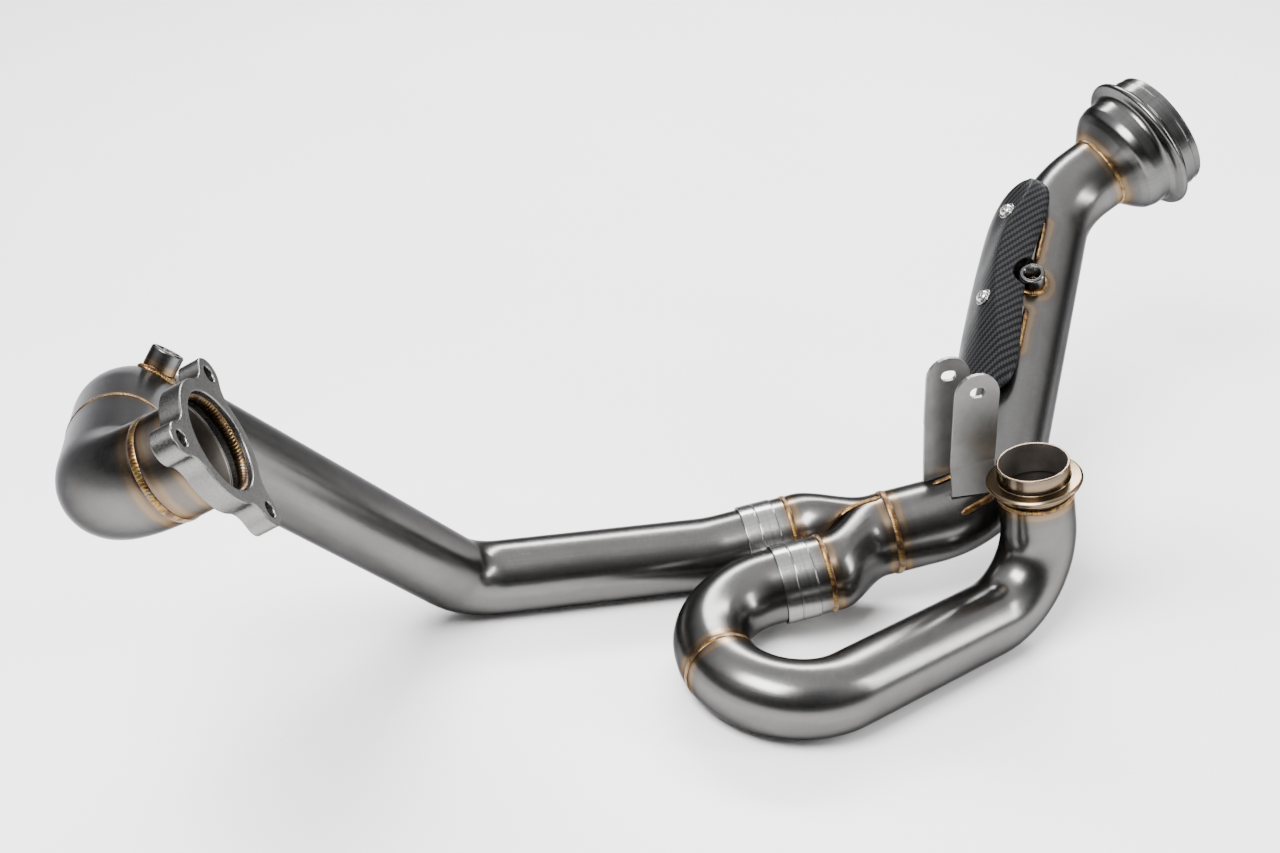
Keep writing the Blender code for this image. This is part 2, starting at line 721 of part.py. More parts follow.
def shield_fastening(name, distance, angle_deg, shield, tab, screw):
    """Button-head screw, washer and nut through the shield and its tab."""
    u = (distance - SHIELD_MIDDLE) / SHIELD_HALF
    seat = round_tail(distance, angle_deg, SHIELD_R - SHIELD_DIP * u * u)
    axis_point = round_tail(distance, angle_deg, 0.0)
    outward = (seat - axis_point).normalized()
    placing = frame_at(seat, outward, shield_frame()[1])
    drill = add_rod(name + "_drill", 3.1, 24.0, frame_at(seat - outward * 16.0, outward), 12)
    boolean(shield, drill)
    boolean(tab, drill)
    head = [(0.01, 4.4), (1.6, 4.4), (2.0, 5.6), (3.2, 5.4), (4.6, 4.3), (5.2, 2.6),
            (2.5, 2.6), (2.5, -14.0), (0.01, -14.0)]
    add_turned(name + "_screw", head, placing, screw, 16)
    washer = [(2.9, 1.3), (7.0, 1.3), (7.0, 2.3), (2.9, 2.3)]
    add_turned(name + "_washer", washer, placing, screw, 20)
    nut = [(3.3, -10.2), (5.0, -10.2), (5.0, -13.0), (3.3, -13.0)]
    add_turned(name + "_nut", nut, placing, screw, 6)


def heat_shield(bung_place, carbon, plate, weld, screw):
    shield = add_patch("heat_shield", shield_place, 14, 8, SHIELD_THICK, carbon)
    foot, outward = bung_place
    notch = add_rod("shield_notch", NOTCH_R, 60.0, frame_at(foot - outward * 10.0, outward))
    boolean(shield, notch)
    for name, distance, angle in (("shield_upper", 256.0, -46.0), ("shield_lower", 166.0, -50.0)):
        reach = -angle - 14.0 + 9.0
        tab = add_patch(name + "_tab", tab_place(distance - 22.0, reach), 4, 8, 1.6, plate)
        shield_fastening(name, distance, angle, shield, tab, screw)
        ends = [round_tail(distance - 22.0 + side * (TAB_HALF - 2.0), -9.4, MID_R + 1.7)
                for side in (-1, 1)]
        add_line_bead(name + "_tab_weld", ends, 1.3, weld)


# ---- assembly ---------------------------------------------------------------

def stand_on_origin():
    """Move everything so the origin is the middle of the footprint, on the floor."""
    bpy.context.view_layer.update()
    depsgraph = bpy.context.evaluated_depsgraph_get()
    low = Vector((math.inf, math.inf, math.inf))
    high = -low
    for obj in bpy.data.collections[PARTS].objects:
        shape = obj.evaluated_get(depsgraph)
        for vert in shape.data.vertices:
            point = shape.matrix_world @ vert.co
            low = Vector(map(min, low, point))
            high = Vector(map(max, high, point))
    shift = Vector((-(low.x + high.x) / 2, -(low.y + high.y) / 2, -low.z))
    for obj in bpy.data.objects:
        obj.matrix_world = Matrix.Translation(shift) @ obj.matrix_world
    return shift


def main():
    clear_scene()
    make_collection(PARTS)
    make_collection(CUTTERS)
    steel = make_material("brushed_stainless", (0.56, 0.55, 0.53), 0.34, 1.0)
    machined = make_material("machined_stainless", (0.68, 0.67, 0.65), 0.24, 1.0)
    weld = make_material("tig_weld", (0.48, 0.33, 0.17), 0.38, 1.0)
    plate = make_material("bracket_sheet", (0.52, 0.51, 0.50), 0.42, 1.0)
    carbon = make_material("carbon_fibre", (0.02, 0.02, 0.022), 0.3, 0.0)
    screw = make_material("button_screw", (0.60, 0.60, 0.58), 0.3, 1.0)

    rear_points, long_pipe = rear_header(steel, machined, weld)
    front_header(steel, machined, weld)
    collector(steel, machined, weld)
    tail = rounded_route(TAIL_ROUTE)
    length = route_lengths(tail)[-1]
    mid = add_tube("tail_pipe", part_of_route(tail, GAP, length - GAP / 2), MID_R, steel)
    outlet_cup(tail, steel, machined, weld)
    bung("rear_sensor_bung", rear_points, REAR_BUNG_AT, HEADER_R,
         Vector((0.31, -0.15, 0.94)), long_pipe, machined, weld)
    bung_place = bung("tail_sensor_bung", tail, TAIL_BUNG_AT, MID_R,
                      Vector((-0.291, -0.328, 0.90)), mid, machined, weld)
    hangers(tail, plate, weld)
    heat_shield(bung_place, carbon, plate, weld, screw)
    stand_on_origin()


main()
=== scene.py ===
import json
import math

import bmesh
import bpy
import numpy as np
from mathutils import Matrix, Vector

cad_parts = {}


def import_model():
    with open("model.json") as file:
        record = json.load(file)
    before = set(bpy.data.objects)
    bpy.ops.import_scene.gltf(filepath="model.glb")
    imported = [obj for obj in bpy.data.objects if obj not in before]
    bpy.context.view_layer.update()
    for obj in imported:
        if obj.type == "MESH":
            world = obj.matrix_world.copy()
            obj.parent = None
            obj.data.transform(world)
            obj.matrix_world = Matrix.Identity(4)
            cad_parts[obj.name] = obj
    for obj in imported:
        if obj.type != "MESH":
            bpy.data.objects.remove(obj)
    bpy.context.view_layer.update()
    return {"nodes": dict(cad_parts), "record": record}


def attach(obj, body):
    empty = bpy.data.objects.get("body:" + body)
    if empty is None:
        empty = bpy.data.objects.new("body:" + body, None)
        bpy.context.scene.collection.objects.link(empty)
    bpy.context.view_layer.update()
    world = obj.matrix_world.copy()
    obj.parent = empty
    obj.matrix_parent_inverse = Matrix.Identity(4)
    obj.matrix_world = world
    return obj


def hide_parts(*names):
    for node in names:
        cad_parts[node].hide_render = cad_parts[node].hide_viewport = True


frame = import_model()

# ---- dimensions, millimetres, in the frame of part.py before it is centred -----

CENTRING = np.array((111.7029, 15.5901, 0.1347))
WALL = 1.5
HEADER_R = 27.0
MID_R = 30.75
SLIP_DIR = np.array((0.979804, 0.0, 0.19996))
SLIP_LENGTH = 35.0
SLIP_DEPTH = 27.0
REAR_MOUTH = np.array((-97.3, 50.9, 32.2))
FRONT_MOUTH = np.array((-90.0, -15.3, 39.9))
COLLECTOR = np.array((3.0, 17.8, 55.4))
REAR_ROUTE = [
    ((-469.9, -326.2, 373.5), 0.0),
    ((-524.7, -319.2, 340.7), 53.5),
    ((-524.0, -104.3, 277.9), 125.0),
    ((-307.3, 42.1, 27.0), 51.5),
    ((-123.0, 50.9, 27.0), 97.0),
    (REAR_MOUTH + SLIP_DIR * SLIP_DEPTH, 0.0),
]
FRONT_ROUTE = [
    ((85.4, -29.8, 137.8), 0.0),
    ((109.5, -33.4, 27.0), 53.0),
    ((-154.4, -171.4, 28.6), 56.0),
    (FRONT_MOUTH - SLIP_DIR * 59.4, 56.0),
    (FRONT_MOUTH + SLIP_DIR * SLIP_DEPTH, 0.0),
]
TAIL_ROUTE = [
    (COLLECTOR, 0.0),
    (COLLECTOR + SLIP_DIR * 82.0, 85.0),
    ((208.6, 259.4, 202.0), 85.0),
    ((249.2, 269.8, 224.9), 0.0),
]
REAR_WELD_1 = 30.0
REAR_WELD_2 = 163.0
FRONT_WELD = 383.0
REAR_BUNG_AT = 256.0
TAIL_BUNG_AT = 263.0
BUNG_HEIGHT = 13.0
SHIELD_R = 50.0
SHIELD_MIDDLE = 184.0
SHIELD_HALF = 105.0
SHIELD_DIP = 4.0                         # how much lower the shield's ends are
SHIELD_FACING = np.array((-0.159, -0.398, 0.903))
SHIELD_SCREWS = (("shield_upper", 256.0, -46.0), ("shield_lower", 166.0, -50.0))
TAB_BACK = 22.0                          # a tab's weld is this far behind its screw
TAB_HALF = 19.0
TAB_TURN = -9.4
LIP = 0.4                                # rounding of a cut tube's edge
SLEEVE_WELD_AT = 35.2


def unit(v):
    """Vectors of length one."""
    return v / np.linalg.norm(v, axis=-1, keepdims=True)


def world(points):
    """Millimetres before centring to the frame's metres."""
    return (np.asarray(points, float) + CENTRING) * 0.001


# ---- camera --------------------------------------------------------------------

camera_data = bpy.data.cameras.new("camera")
camera_data.sensor_width = 36.0
camera_data.lens = 56.25
camera = bpy.data.objects.new("camera", camera_data)
bpy.context.scene.collection.objects.link(camera)
RIGHT = Vector((0.97829, -0.2035, 0.03912)).normalized()
BACK = Vector((-0.19549, -0.84364, 0.50006))
BACK = (BACK - RIGHT * BACK.dot(RIGHT)).normalized()
UP = BACK.cross(RIGHT)
camera.matrix_world = Matrix((RIGHT, UP, BACK)).transposed().to_4x4()
camera.location = Vector(world((-460.8, -1153.5, 855.3)))
bpy.context.scene.camera = camera


# ---- material helpers ------------------------------------------------------------

class Nodes:
    """A material's node tree with short ways to add and join nodes."""

    def __init__(self, name, metallic=1.0, roughness=0.3):
        self.material = bpy.data.materials.new(name)
        self.material.use_nodes = True
        self.tree = self.material.node_tree
        self.shader = self.tree.nodes["Principled BSDF"]
        self.shader.inputs["Metallic"].default_value = metallic
        self.shader.inputs["Roughness"].default_value = roughness

    def add(self, kind, **values):
        node = self.tree.nodes.new(kind)
        for key, value in values.items():
            setattr(node, key, value)
        return node

    def join(self, source, target):
        self.tree.links.new(source, target)
        return source

    def put(self, value, socket):
        if isinstance(value, bpy.types.NodeSocket):
            self.join(value, socket)
        else:
            socket.default_value = value

    def math(self, operation, a, b=0.0, clamp=False):
        node = self.add("ShaderNodeMath", operation=operation, use_clamp=clamp)
        self.put(a, node.inputs[0])
        self.put(b, node.inputs[1])
        return node.outputs[0]

    def uv(self, sx, sy):
        """The surface map, metres round and along, scaled to noise cells."""
        coordinate = self.add("ShaderNodeUVMap", uv_map="surface")
        scale = self.add("ShaderNodeVectorMath", operation="MULTIPLY")
        self.join(coordinate.outputs[0], scale.inputs[0])
        scale.inputs[1].default_value = (sx, sy, 0.0)
        return scale.outputs[0]

    def place(self, scale):
        """The object's own coordinates, scaled to noise cells."""
        coordinate = self.add("ShaderNodeTexCoord")
        scaled = self.add("ShaderNodeVectorMath", operation="MULTIPLY")
        self.join(coordinate.outputs["Object"], scaled.inputs[0])
        scaled.inputs[1].default_value = scale
        return scaled.outputs[0]

    def noise(self, vector, detail=3.0, rough=0.55, distortion=0.0):
        node = self.add("ShaderNodeTexNoise")
        self.join(vector, node.inputs["Vector"])
        node.inputs["Scale"].default_value = 1.0
        node.inputs["Detail"].default_value = detail
        node.inputs["Roughness"].default_value = rough
        node.inputs["Distortion"].default_value = distortion
        return node.outputs["Fac"]

    def ramp(self, value, stops, interpolation="EASE"):
        node = self.add("ShaderNodeValToRGB")
        node.color_ramp.interpolation = interpolation
        elements = node.color_ramp.elements
        while len(elements) < len(stops):
            elements.new(1.0)
        for element, (position, color) in zip(elements, stops):
            element.position = position
            element.color = (*color, 1.0) if len(color) == 3 else color
        self.join(value, node.inputs[0])
        return node.outputs[0]

    def mix(self, factor, a, b, blend="MIX"):
        node = self.add("ShaderNodeMix", data_type="RGBA", blend_type=blend)
        self.put(factor, node.inputs[0])
        for value, socket in ((a, node.inputs[6]), (b, node.inputs[7])):
            if isinstance(value, tuple) and len(value) == 3:
                value = (*value, 1.0)
            self.put(value, socket)
        return node.outputs[2]

    def span(self, value, low, high, to_low=0.0, to_high=1.0):
        node = self.add("ShaderNodeMapRange", clamp=True)
        self.join(value, node.inputs[0])
        for index, number in enumerate((low, high, to_low, to_high)):
            node.inputs[1 + index].default_value = number
        return node.outputs[0]

    def bump(self, height, strength, distance, normal=None):
        node = self.add("ShaderNodeBump")
        node.inputs["Strength"].default_value = strength
        node.inputs["Distance"].default_value = distance
        self.join(height, node.inputs["Height"])
        if normal is not None:
            self.join(normal, node.inputs["Normal"])
        return node.outputs[0]

    def attribute(self, name):
        return self.add("ShaderNodeAttribute", attribute_name=name).outputs["Fac"]

    def finish(self, color, roughness=None, normal=None):
        self.put(color, self.shader.inputs["Base Color"])
        if roughness is not None:
            self.put(roughness, self.shader.inputs["Roughness"])
        if normal is not None:
            self.join(normal, self.shader.inputs["Normal"])
        return self.material


# Temper colours of stainless steel, by distance from the weld.
TEMPER = [
    (0.00, (0.09, 0.055, 0.035)),
    (0.10, (0.20, 0.110, 0.045)),
    (0.22, (0.21, 0.145, 0.075)),
    (0.40, (0.12, 0.085, 0.060)),
    (0.60, (0.080, 0.080, 0.088)),
    (0.78, (0.12, 0.116, 0.108)),
    (1.00, (0.13, 0.128, 0.125)),
]

EDGE_SHADE_TINT = (0.30, 0.30, 0.31, 1.0)      # painted shade: the steel's grazing reflections are tinted dark, in place of dark surroundings at the tubes' edges


def tube_steel():
    n = Nodes("brushed_tube")
    brush = n.noise(n.uv(1500.0, 22.0), 4.0, 0.7)
    cross = n.noise(n.uv(160.0, 700.0), 3.0, 0.6)
    cloud = n.noise(n.uv(38.0, 26.0), 4.0, 0.6, 0.6)
    grain = n.math("ADD", n.math("MULTIPLY", brush, 0.6), n.math("MULTIPLY", cross, 0.4))
    steel = n.ramp(grain, [(0.30, (0.110, 0.109, 0.106)), (0.52, (0.132, 0.130, 0.127)),
                           (0.72, (0.165, 0.163, 0.159))])
    steel = n.mix(n.span(cloud, 0.35, 0.7, 0.0, 0.5), steel, (0.098, 0.094, 0.089))
    wander = n.math("MULTIPLY", n.math("SUBTRACT", cloud, 0.5), 0.007)
    heat = n.math("ADD", n.attribute("weld_distance"), wander)
    near = n.span(heat, 0.0, 0.017)
    tint = n.mix(0.42, n.ramp(near, TEMPER), steel)
    color = n.mix(n.span(heat, 0.004, 0.015), tint, steel)
    soot = n.mix(n.span(cloud, 0.3, 0.7), (0.16, 0.145, 0.13), (0.30, 0.27, 0.24))
    color = n.mix(n.attribute("inside"), color, soot)
    rough = n.span(grain, 0.3, 0.7, 0.21, 0.28)
    rough = n.math("ADD", rough, n.math("MULTIPLY", n.attribute("inside"), 0.25))
    fine = n.bump(grain, 0.02, 0.0002)
    n.shader.inputs["Specular Tint"].default_value = EDGE_SHADE_TINT
    return n.finish(color, rough, n.bump(cloud, 0.05, 0.002, fine))


def turned_steel(name, level):
    """Lathe-turned steel; level is how bright its clean surface is."""
    n = Nodes(name)
    rings = n.noise(n.uv(0.0, 2600.0), 3.0, 0.7)
    wide = n.noise(n.uv(0.0, 420.0), 2.0, 0.5)
    streak = n.noise(n.uv(420.0, 14.0), 3.0, 0.6)
    cloud = n.noise(n.uv(40.0, 40.0), 3.0, 0.5)
    lines = n.math("ADD", n.math("MULTIPLY", rings, 0.6), n.math("MULTIPLY", wide, 0.4))
    steel = n.ramp(lines, [(0.32, (0.82 * level, 0.81 * level, 0.79 * level)),
                           (0.55, (level, 0.99 * level, 0.97 * level)),
                           (0.7, (1.25 * level, 1.24 * level, 1.22 * level))])
    steel = n.mix(n.span(streak, 0.42, 0.66, 0.0, 0.4), steel,
                  (0.62 * level, 0.61 * level, 0.59 * level))
    near = n.span(n.math("ADD", n.attribute("weld_distance"), n.math("MULTIPLY", cloud, 0.004)),
                  0.0, 0.016)
    tint = n.mix(0.3, n.ramp(near, TEMPER), steel)
    color = n.mix(n.span(near, 0.3, 0.9), tint, steel)
    soot = n.mix(n.span(cloud, 0.3, 0.7), (0.15, 0.13, 0.115), (0.28, 0.25, 0.225))
    inside = n.attribute("inside")
    color = n.mix(inside, color, soot)
    rough = n.span(lines, 0.3, 0.7, 0.18, 0.28)
    rough = n.math("ADD", rough, n.math("MULTIPLY", inside, 0.3))
    n.shader.inputs["Specular Tint"].default_value = EDGE_SHADE_TINT
    return n.finish(color, rough, n.bump(wide, 0.05, 0.0003))


def weld_metal():
    n = Nodes("tig_bead")
    patch = n.noise(n.uv(120.0, 160.0), 3.0, 0.6)
    fine = n.noise(n.uv(1400.0, 1400.0), 3.0, 0.6)
    color = n.ramp(patch, [(0.28, (0.045, 0.052, 0.075)), (0.38, (0.07, 0.048, 0.038)),
                           (0.47, (0.15, 0.075, 0.030)), (0.56, (0.27, 0.17, 0.055)),
                           (0.65, (0.16, 0.135, 0.09)), (0.8, (0.11, 0.104, 0.095))])
    # painted shade: the bead darkens in the creases between its ripples and along its toes;
    # beads inside a bore are also darkened all over as soot
    valley = n.attribute("valley")
    color = n.mix(n.math("MULTIPLY", valley, 0.85), color, (0.035, 0.026, 0.02))
    rough = n.span(fine, 0.3, 0.7, 0.24, 0.4)
    return n.finish(color, rough, n.bump(fine, 0.15, 0.0002))


def sheet_steel():
    n = Nodes("rolled_sheet")
    roll = n.noise(n.place((260.0, 260.0, 2600.0)), 3.0, 0.6)
    cloud = n.noise(n.place((90.0, 90.0, 90.0)), 4.0, 0.6)
    color = n.ramp(cloud, [(0.3, (0.17, 0.167, 0.16)), (0.55, (0.20, 0.197, 0.19)),
                           (0.75, (0.225, 0.222, 0.215))])
    color = n.mix(n.span(roll, 0.35, 0.7, 0.0, 0.4), color, (0.24, 0.237, 0.23))
    rough = n.span(roll, 0.3, 0.7, 0.38, 0.5)
    return n.finish(color, rough, n.bump(roll, 0.12, 0.0003))


def plate_steel():
    n = Nodes("machined_plate")
    mill = n.noise(n.place((900.0, 900.0, 900.0)), 4.0, 0.7)
    cloud = n.noise(n.place((70.0, 70.0, 70.0)), 3.0, 0.6)
    color = n.ramp(mill, [(0.32, (0.16, 0.158, 0.152)), (0.6, (0.20, 0.198, 0.192)),
                          (0.75, (0.26, 0.257, 0.25))])
    color = n.mix(n.span(cloud, 0.35, 0.7, 0.0, 0.4), color, (0.14, 0.135, 0.13))
    n.shader.inputs["Specular Tint"].default_value = EDGE_SHADE_TINT
    rough = n.span(mill, 0.3, 0.7, 0.24, 0.36)
    return n.finish(color, rough, n.bump(mill, 0.12, 0.0002))


def bright_screw():
    n = Nodes("bright_screw")
    wear = n.noise(n.place((700.0, 700.0, 700.0)), 3.0, 0.6)
    color = n.ramp(wear, [(0.3, (0.42, 0.42, 0.41)), (0.7, (0.66, 0.66, 0.64))])
    return n.finish(color, n.span(wear, 0.3, 0.7, 0.2, 0.34), n.bump(wear, 0.08, 0.0002))


def carbon_twill():
    """Two-by-two twill: each tow crosses over two and under two, under clear resin."""
    n = Nodes("carbon_twill", 0.0, 0.34)
    tow = 1000.0 / 1.9                   # tows to a metre of cloth
    coordinate = n.add("ShaderNodeUVMap", uv_map="surface")
    split = n.add("ShaderNodeSeparateXYZ")
    n.join(coordinate.outputs[0], split.inputs[0])
    a = n.math("ADD", n.math("MULTIPLY", split.outputs[0], tow), 200.0)
    b = n.math("ADD", n.math("MULTIPLY", split.outputs[1], tow), 200.0)
    cell = n.math("SUBTRACT", n.math("FLOOR", a), n.math("FLOOR", b))
    quarter = n.math("FRACT", n.math("MULTIPLY", cell, 0.25))
    over = n.math("LESS_THAN", quarter, 0.49)
    across_a = n.math("ABSOLUTE", n.math("SUBTRACT", n.math("FRACT", a), 0.5))
    across_b = n.math("ABSOLUTE", n.math("SUBTRACT", n.math("FRACT", b), 0.5))
    swap = n.add("ShaderNodeMix", data_type="FLOAT")
    n.join(over, swap.inputs[0])
    n.join(across_b, swap.inputs[2])
    n.join(across_a, swap.inputs[3])
    height = n.math("SUBTRACT", 0.25, n.math("MULTIPLY", swap.outputs[0], swap.outputs[0]))
    # painted sheen: tows lying on top get a lighter base colour in place of their different
    # reflection
    light = n.mix(over, (0.006, 0.006, 0.0065), (0.022, 0.0225, 0.024))
    # painted shade: each tow darkens towards its edges, in the grooves between tows
    edge = n.span(swap.outputs[0], 0.36, 0.5)
    color = n.mix(n.math("MULTIPLY", edge, 0.6), light, (0.004, 0.004, 0.004))
    ripple = n.noise(n.uv(60.0, 60.0), 2.0, 0.5)
    rough = n.span(ripple, 0.3, 0.7, 0.26, 0.36)
    n.shader.inputs["IOR"].default_value = 1.24
    n.shader.inputs["Specular IOR Level"].default_value = 0.1
    n.shader.inputs["Coat Weight"].default_value = 0.02
    n.shader.inputs["Coat Roughness"].default_value = 0.2
    weave = n.bump(height, 0.3, 0.0003)
    return n.finish(color, rough, n.bump(ripple, 0.12, 0.001, weave))


def floor_paint():
    n = Nodes("pale_floor", 0.0, 0.6)
    cloud = n.noise(n.place((3.0, 3.0, 3.0)), 3.0, 0.5)
    color = n.ramp(cloud, [(0.3, (0.93, 0.93, 0.93)), (0.7, (0.95, 0.95, 0.95))])
    return n.finish(color, n.span(cloud, 0.3, 0.7, 0.55, 0.65))


TUBE = tube_steel()
TURNED = turned_steel("turned_steel", 0.125)
SLEEVES = turned_steel("sleeve_steel", 0.30)
WELD = weld_metal()
SHEET = sheet_steel()
PLATE = plate_steel()
SCREW = bright_screw()
CARBON = carbon_twill()
BODY = {node: body for body, nodes in frame["record"]["behaviour"]["bodies"].items()
        for node in nodes}


def adopt(obj, material, *nodes):
    """The piece stands for these CAD nodes, and takes their body."""
    obj.data.materials.clear()
    obj.data.materials.append(material)
    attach(obj, BODY[nodes[0]])
    for node in nodes:
        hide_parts(node)
    return obj


# ---- surfaces --------------------------------------------------------------------

def surface(name, points, wrap_rows, wrap_columns, uv, values=(), caps=False):
    """A mesh over a grid of points (rows x columns x 3, millimetres) with a UV map."""
    rows, columns = points.shape[:2]
    place = world(points.reshape(-1, 3))
    i = np.arange(rows if wrap_rows else rows - 1)
    j = np.arange(columns if wrap_columns else columns - 1)
    i, j = (grid.ravel() for grid in np.meshgrid(i, j, indexing="ij"))
    i2, j2 = (i + 1) % rows, (j + 1) % columns
    faces = np.stack((i * columns + j, i * columns + j2, i2 * columns + j2,
                      i2 * columns + j), 1)
    corners = np.stack((uv[i, j], uv[i, j + 1], uv[i + 1, j + 1], uv[i + 1, j]), 1)
    face_list = faces.tolist()
    corner_list = corners.reshape(-1, 2)
    if caps:
        face_list.append(list(range(columns)))
        face_list.append(list(range((rows - 1) * columns, rows * columns))[::-1])
        corner_list = np.vstack((corner_list, uv[0, :columns], uv[rows - 1, :columns][::-1]))
    mesh = bpy.data.meshes.new(name)
    mesh.from_pydata(place.tolist(), [], face_list)
    layer = mesh.uv_layers.new(name="surface")
    layer.data.foreach_set("uv", corner_list.astype(np.float32).ravel())
    for key, value in values:
        attribute = mesh.attributes.new(key, "FLOAT", "POINT")
        attribute.data.foreach_set("value", value.astype(np.float32).ravel())
    mesh.polygons.foreach_set("use_smooth", [True] * len(mesh.polygons))
    bm = bmesh.new()
    bm.from_mesh(mesh)
    bmesh.ops.recalc_face_normals(bm, faces=bm.faces)
    bm.to_mesh(mesh)
    bm.free()
    obj = bpy.data.objects.new(name, mesh)
    bpy.context.scene.collection.objects.link(obj)
    return obj


class Path:
    """A centreline with straight legs and true arcs, evenly sampled."""

    def __init__(self, corners, spacing=2.5):
        knots = [np.array(point, float) for point, radius in corners]
        points = [knots[0]]
        for before, here, after, (_, radius) in zip(knots, knots[1:], knots[2:], corners[1:]):
            way_in, way_out = unit(here - before), unit(after - here)
            turn = math.acos(float(np.clip(way_in @ way_out, -1, 1)))
            start = here - way_in * radius * math.tan(turn / 2)
            normal = unit(way_out - way_in * (way_out @ way_in))
            for angle in np.linspace(0.0, turn, max(8, int(turn * radius / 1.2))):
                bow = way_in * math.sin(angle) + normal * (1.0 - math.cos(angle))
                points.append(start + bow * radius)
        points.append(knots[-1])
        points = np.array(points)
        keep = np.r_[True, np.linalg.norm(np.diff(points, axis=0), axis=1) > 1e-6]
        points = points[keep]
        s = np.r_[0.0, np.cumsum(np.linalg.norm(np.diff(points, axis=0), axis=1))]
        self.total = s[-1]
        self.s, self.points = s, points
        self.spacing = spacing
        self.stations = np.arange(0.0, self.total, 1.0)
        tangents = self.tangent(self.stations)
        up = np.array((0.13, 0.05, -1.0))
        frames = []
        for tangent in tangents:
            up = unit(up - tangent * (up @ tangent))
            frames.append(up)
        self.ups = np.array(frames)

    def point(self, s):
        return np.stack([np.interp(s, self.s, self.points[:, k]) for k in range(3)], -1)

    def tangent(self, s):
        s = np.asarray(s, float)
        low = np.clip(s - 0.8, 0.0, self.total - 1.6)
        return unit(self.point(low + 1.6) - self.point(low))

    def frame(self, s):
        """Point, tangent and two square directions at distances along the path."""
        tangent = self.tangent(s)
        up = np.stack([np.interp(s, self.stations, self.ups[:, k]) for k in range(3)], -1)
        up = unit(up - tangent * np.sum(up * tangent, -1, keepdims=True))
        return self.point(s), tangent, up, np.cross(tangent, up)

    def at(self, distance):
        """Point and direction at one distance along the path."""
        point, tangent, _, _ = self.frame(np.array([distance]))
        return point[0], tangent[0]


def circle(count):
    return np.linspace(0.0, 2.0 * math.pi, count, endpoint=False)


def ring_uv(along, sides, radius):
    """UV in metres over a wrapped grid: round the surface, then along it."""
    round_ = np.linspace(0.0, 2.0 * math.pi * radius, sides + 1) * 0.001
    along = np.append(along, along[-1]) * 0.001
    return np.stack(np.broadcast_arrays(round_[None, :], along[:, None]), -1)


def nearest_heat(points, sources):
    """Metres from the nearest weld, at every point of a grid."""
    heat = np.full(points.shape[:2], 100.0)
    for source in sources:
        heat = np.minimum(heat, source(points))
    return heat * 0.001


def spot(place, radius):
    """Heat from a round weld: distance from its edge."""
    return lambda points: np.maximum(np.linalg.norm(points - place, axis=-1) - radius, 0.0)


def hoop(place, axis, half=2.5):
    """Heat from a weld round the tube: distance from its plane, near it only."""
    def distance(points):
        offset = points - place
        away = np.abs(offset @ axis) - half
        far = np.linalg.norm(offset, axis=-1) > 60.0
        return np.where(far, 100.0, np.maximum(away, 0.0))
    return distance


def past_plane(place, axis, start=0.0, scale=1.0):
    """Heat from a weld at one end of a turned piece: distance along the piece."""
    return lambda points: np.maximum((points - place) @ axis - start, 0.0) * scale


def tube(name, path, start, end, radius, sources, sides=72):
    """A bent tube with a bore and softened ends, between two distances on its path."""
    count = max(3, int((end - start) / path.spacing))
    s = np.linspace(start, end, count)
    s = np.r_[start, start + LIP, s[1:-1], end - LIP, end]
    r = np.full(len(s), radius)
    r[0] -= LIP
    r[-1] -= LIP
    s = np.r_[s, s[::-1]]
    inner = np.full(len(r), radius - WALL)
    r = np.r_[r, inner]
    centre, _, x, y = path.frame(s)
    angle = circle(sides)
    spoke = x[:, None] * np.cos(angle)[None, :, None] + y[:, None] * np.sin(angle)[None, :, None]
    points = centre[:, None] + spoke * r[:, None, None]
    inside = np.repeat((r < radius - 1.0)[:, None], sides, 1)
    values = (("weld_distance", nearest_heat(points, sources)), ("inside", inside * 1.0))
    return surface(name, points, True, True, ring_uv(s, sides, radius), values)


def bead(name, base, normal, across, half, height, pitch=1.9, closed=True, soot=0.0):
    """Stacked-coin weld bead along a line of base points."""
    steps = np.linalg.norm(np.diff(base, axis=0), axis=1)
    s = np.r_[0.0, np.cumsum(steps)]
    total = s[-1] + (np.linalg.norm(base[0] - base[-1]) if closed else 0.0)
    count = max(4, round(total / pitch))
    w = np.array((-1.0, -0.93, -0.8, -0.6, -0.35, -0.1, 0.15, 0.4, 0.63, 0.82, 0.94, 1.0))
    phase = s[:, None] / total * count + 0.42 * w[None, :] ** 2
    part = phase - np.floor(phase)
    coin = 1.0 - 0.34 * part ** 1.6
    hop = np.sin(np.floor(phase) * 12.9898) * 0.5
    size = 1.0 + 0.05 * hop
    if closed:
        end = np.ones(len(s))
    else:
        end = np.clip(np.minimum(s, total - s) / (1.3 * half), 0.03, 1.0) ** 0.5
    dome = np.sqrt(np.clip(1.0 - w ** 2, 0.0, 1.0))[None, :]
    lift = height * dome * coin * size * end[:, None]
    side = half * w[None, :] * (1.0 + 0.06 * hop) * end[:, None]
    top = base[:, None] + normal[:, None] * lift[..., None] + across[:, None] * side[..., None]
    under = base[:, None] - normal[:, None] * 0.8 + across[:, None] * side[:, ::-1, None] * 0.8
    points = np.concatenate((top, under[:, 2:-2]), 1)
    # Painted shade: darker where each coin meets the next and along the toes; soot on beads
    # inside a bore and the hidden underside add to it.
    crease = np.maximum(part ** 3 * 0.8, np.abs(w)[None, :] ** 6)
    valley = np.concatenate((np.maximum(crease, soot), np.ones((len(s), 8))), 1)
    columns = points.shape[1]
    along = np.append(s, total) * 0.001
    round_ = np.linspace(0.0, half * 4.0, columns + 1) * 0.001
    uv = np.stack(np.broadcast_arrays(round_[None, :], along[:, None]), -1)
    return surface(name, points, closed, True, uv, (("valley", valley),), caps=not closed)


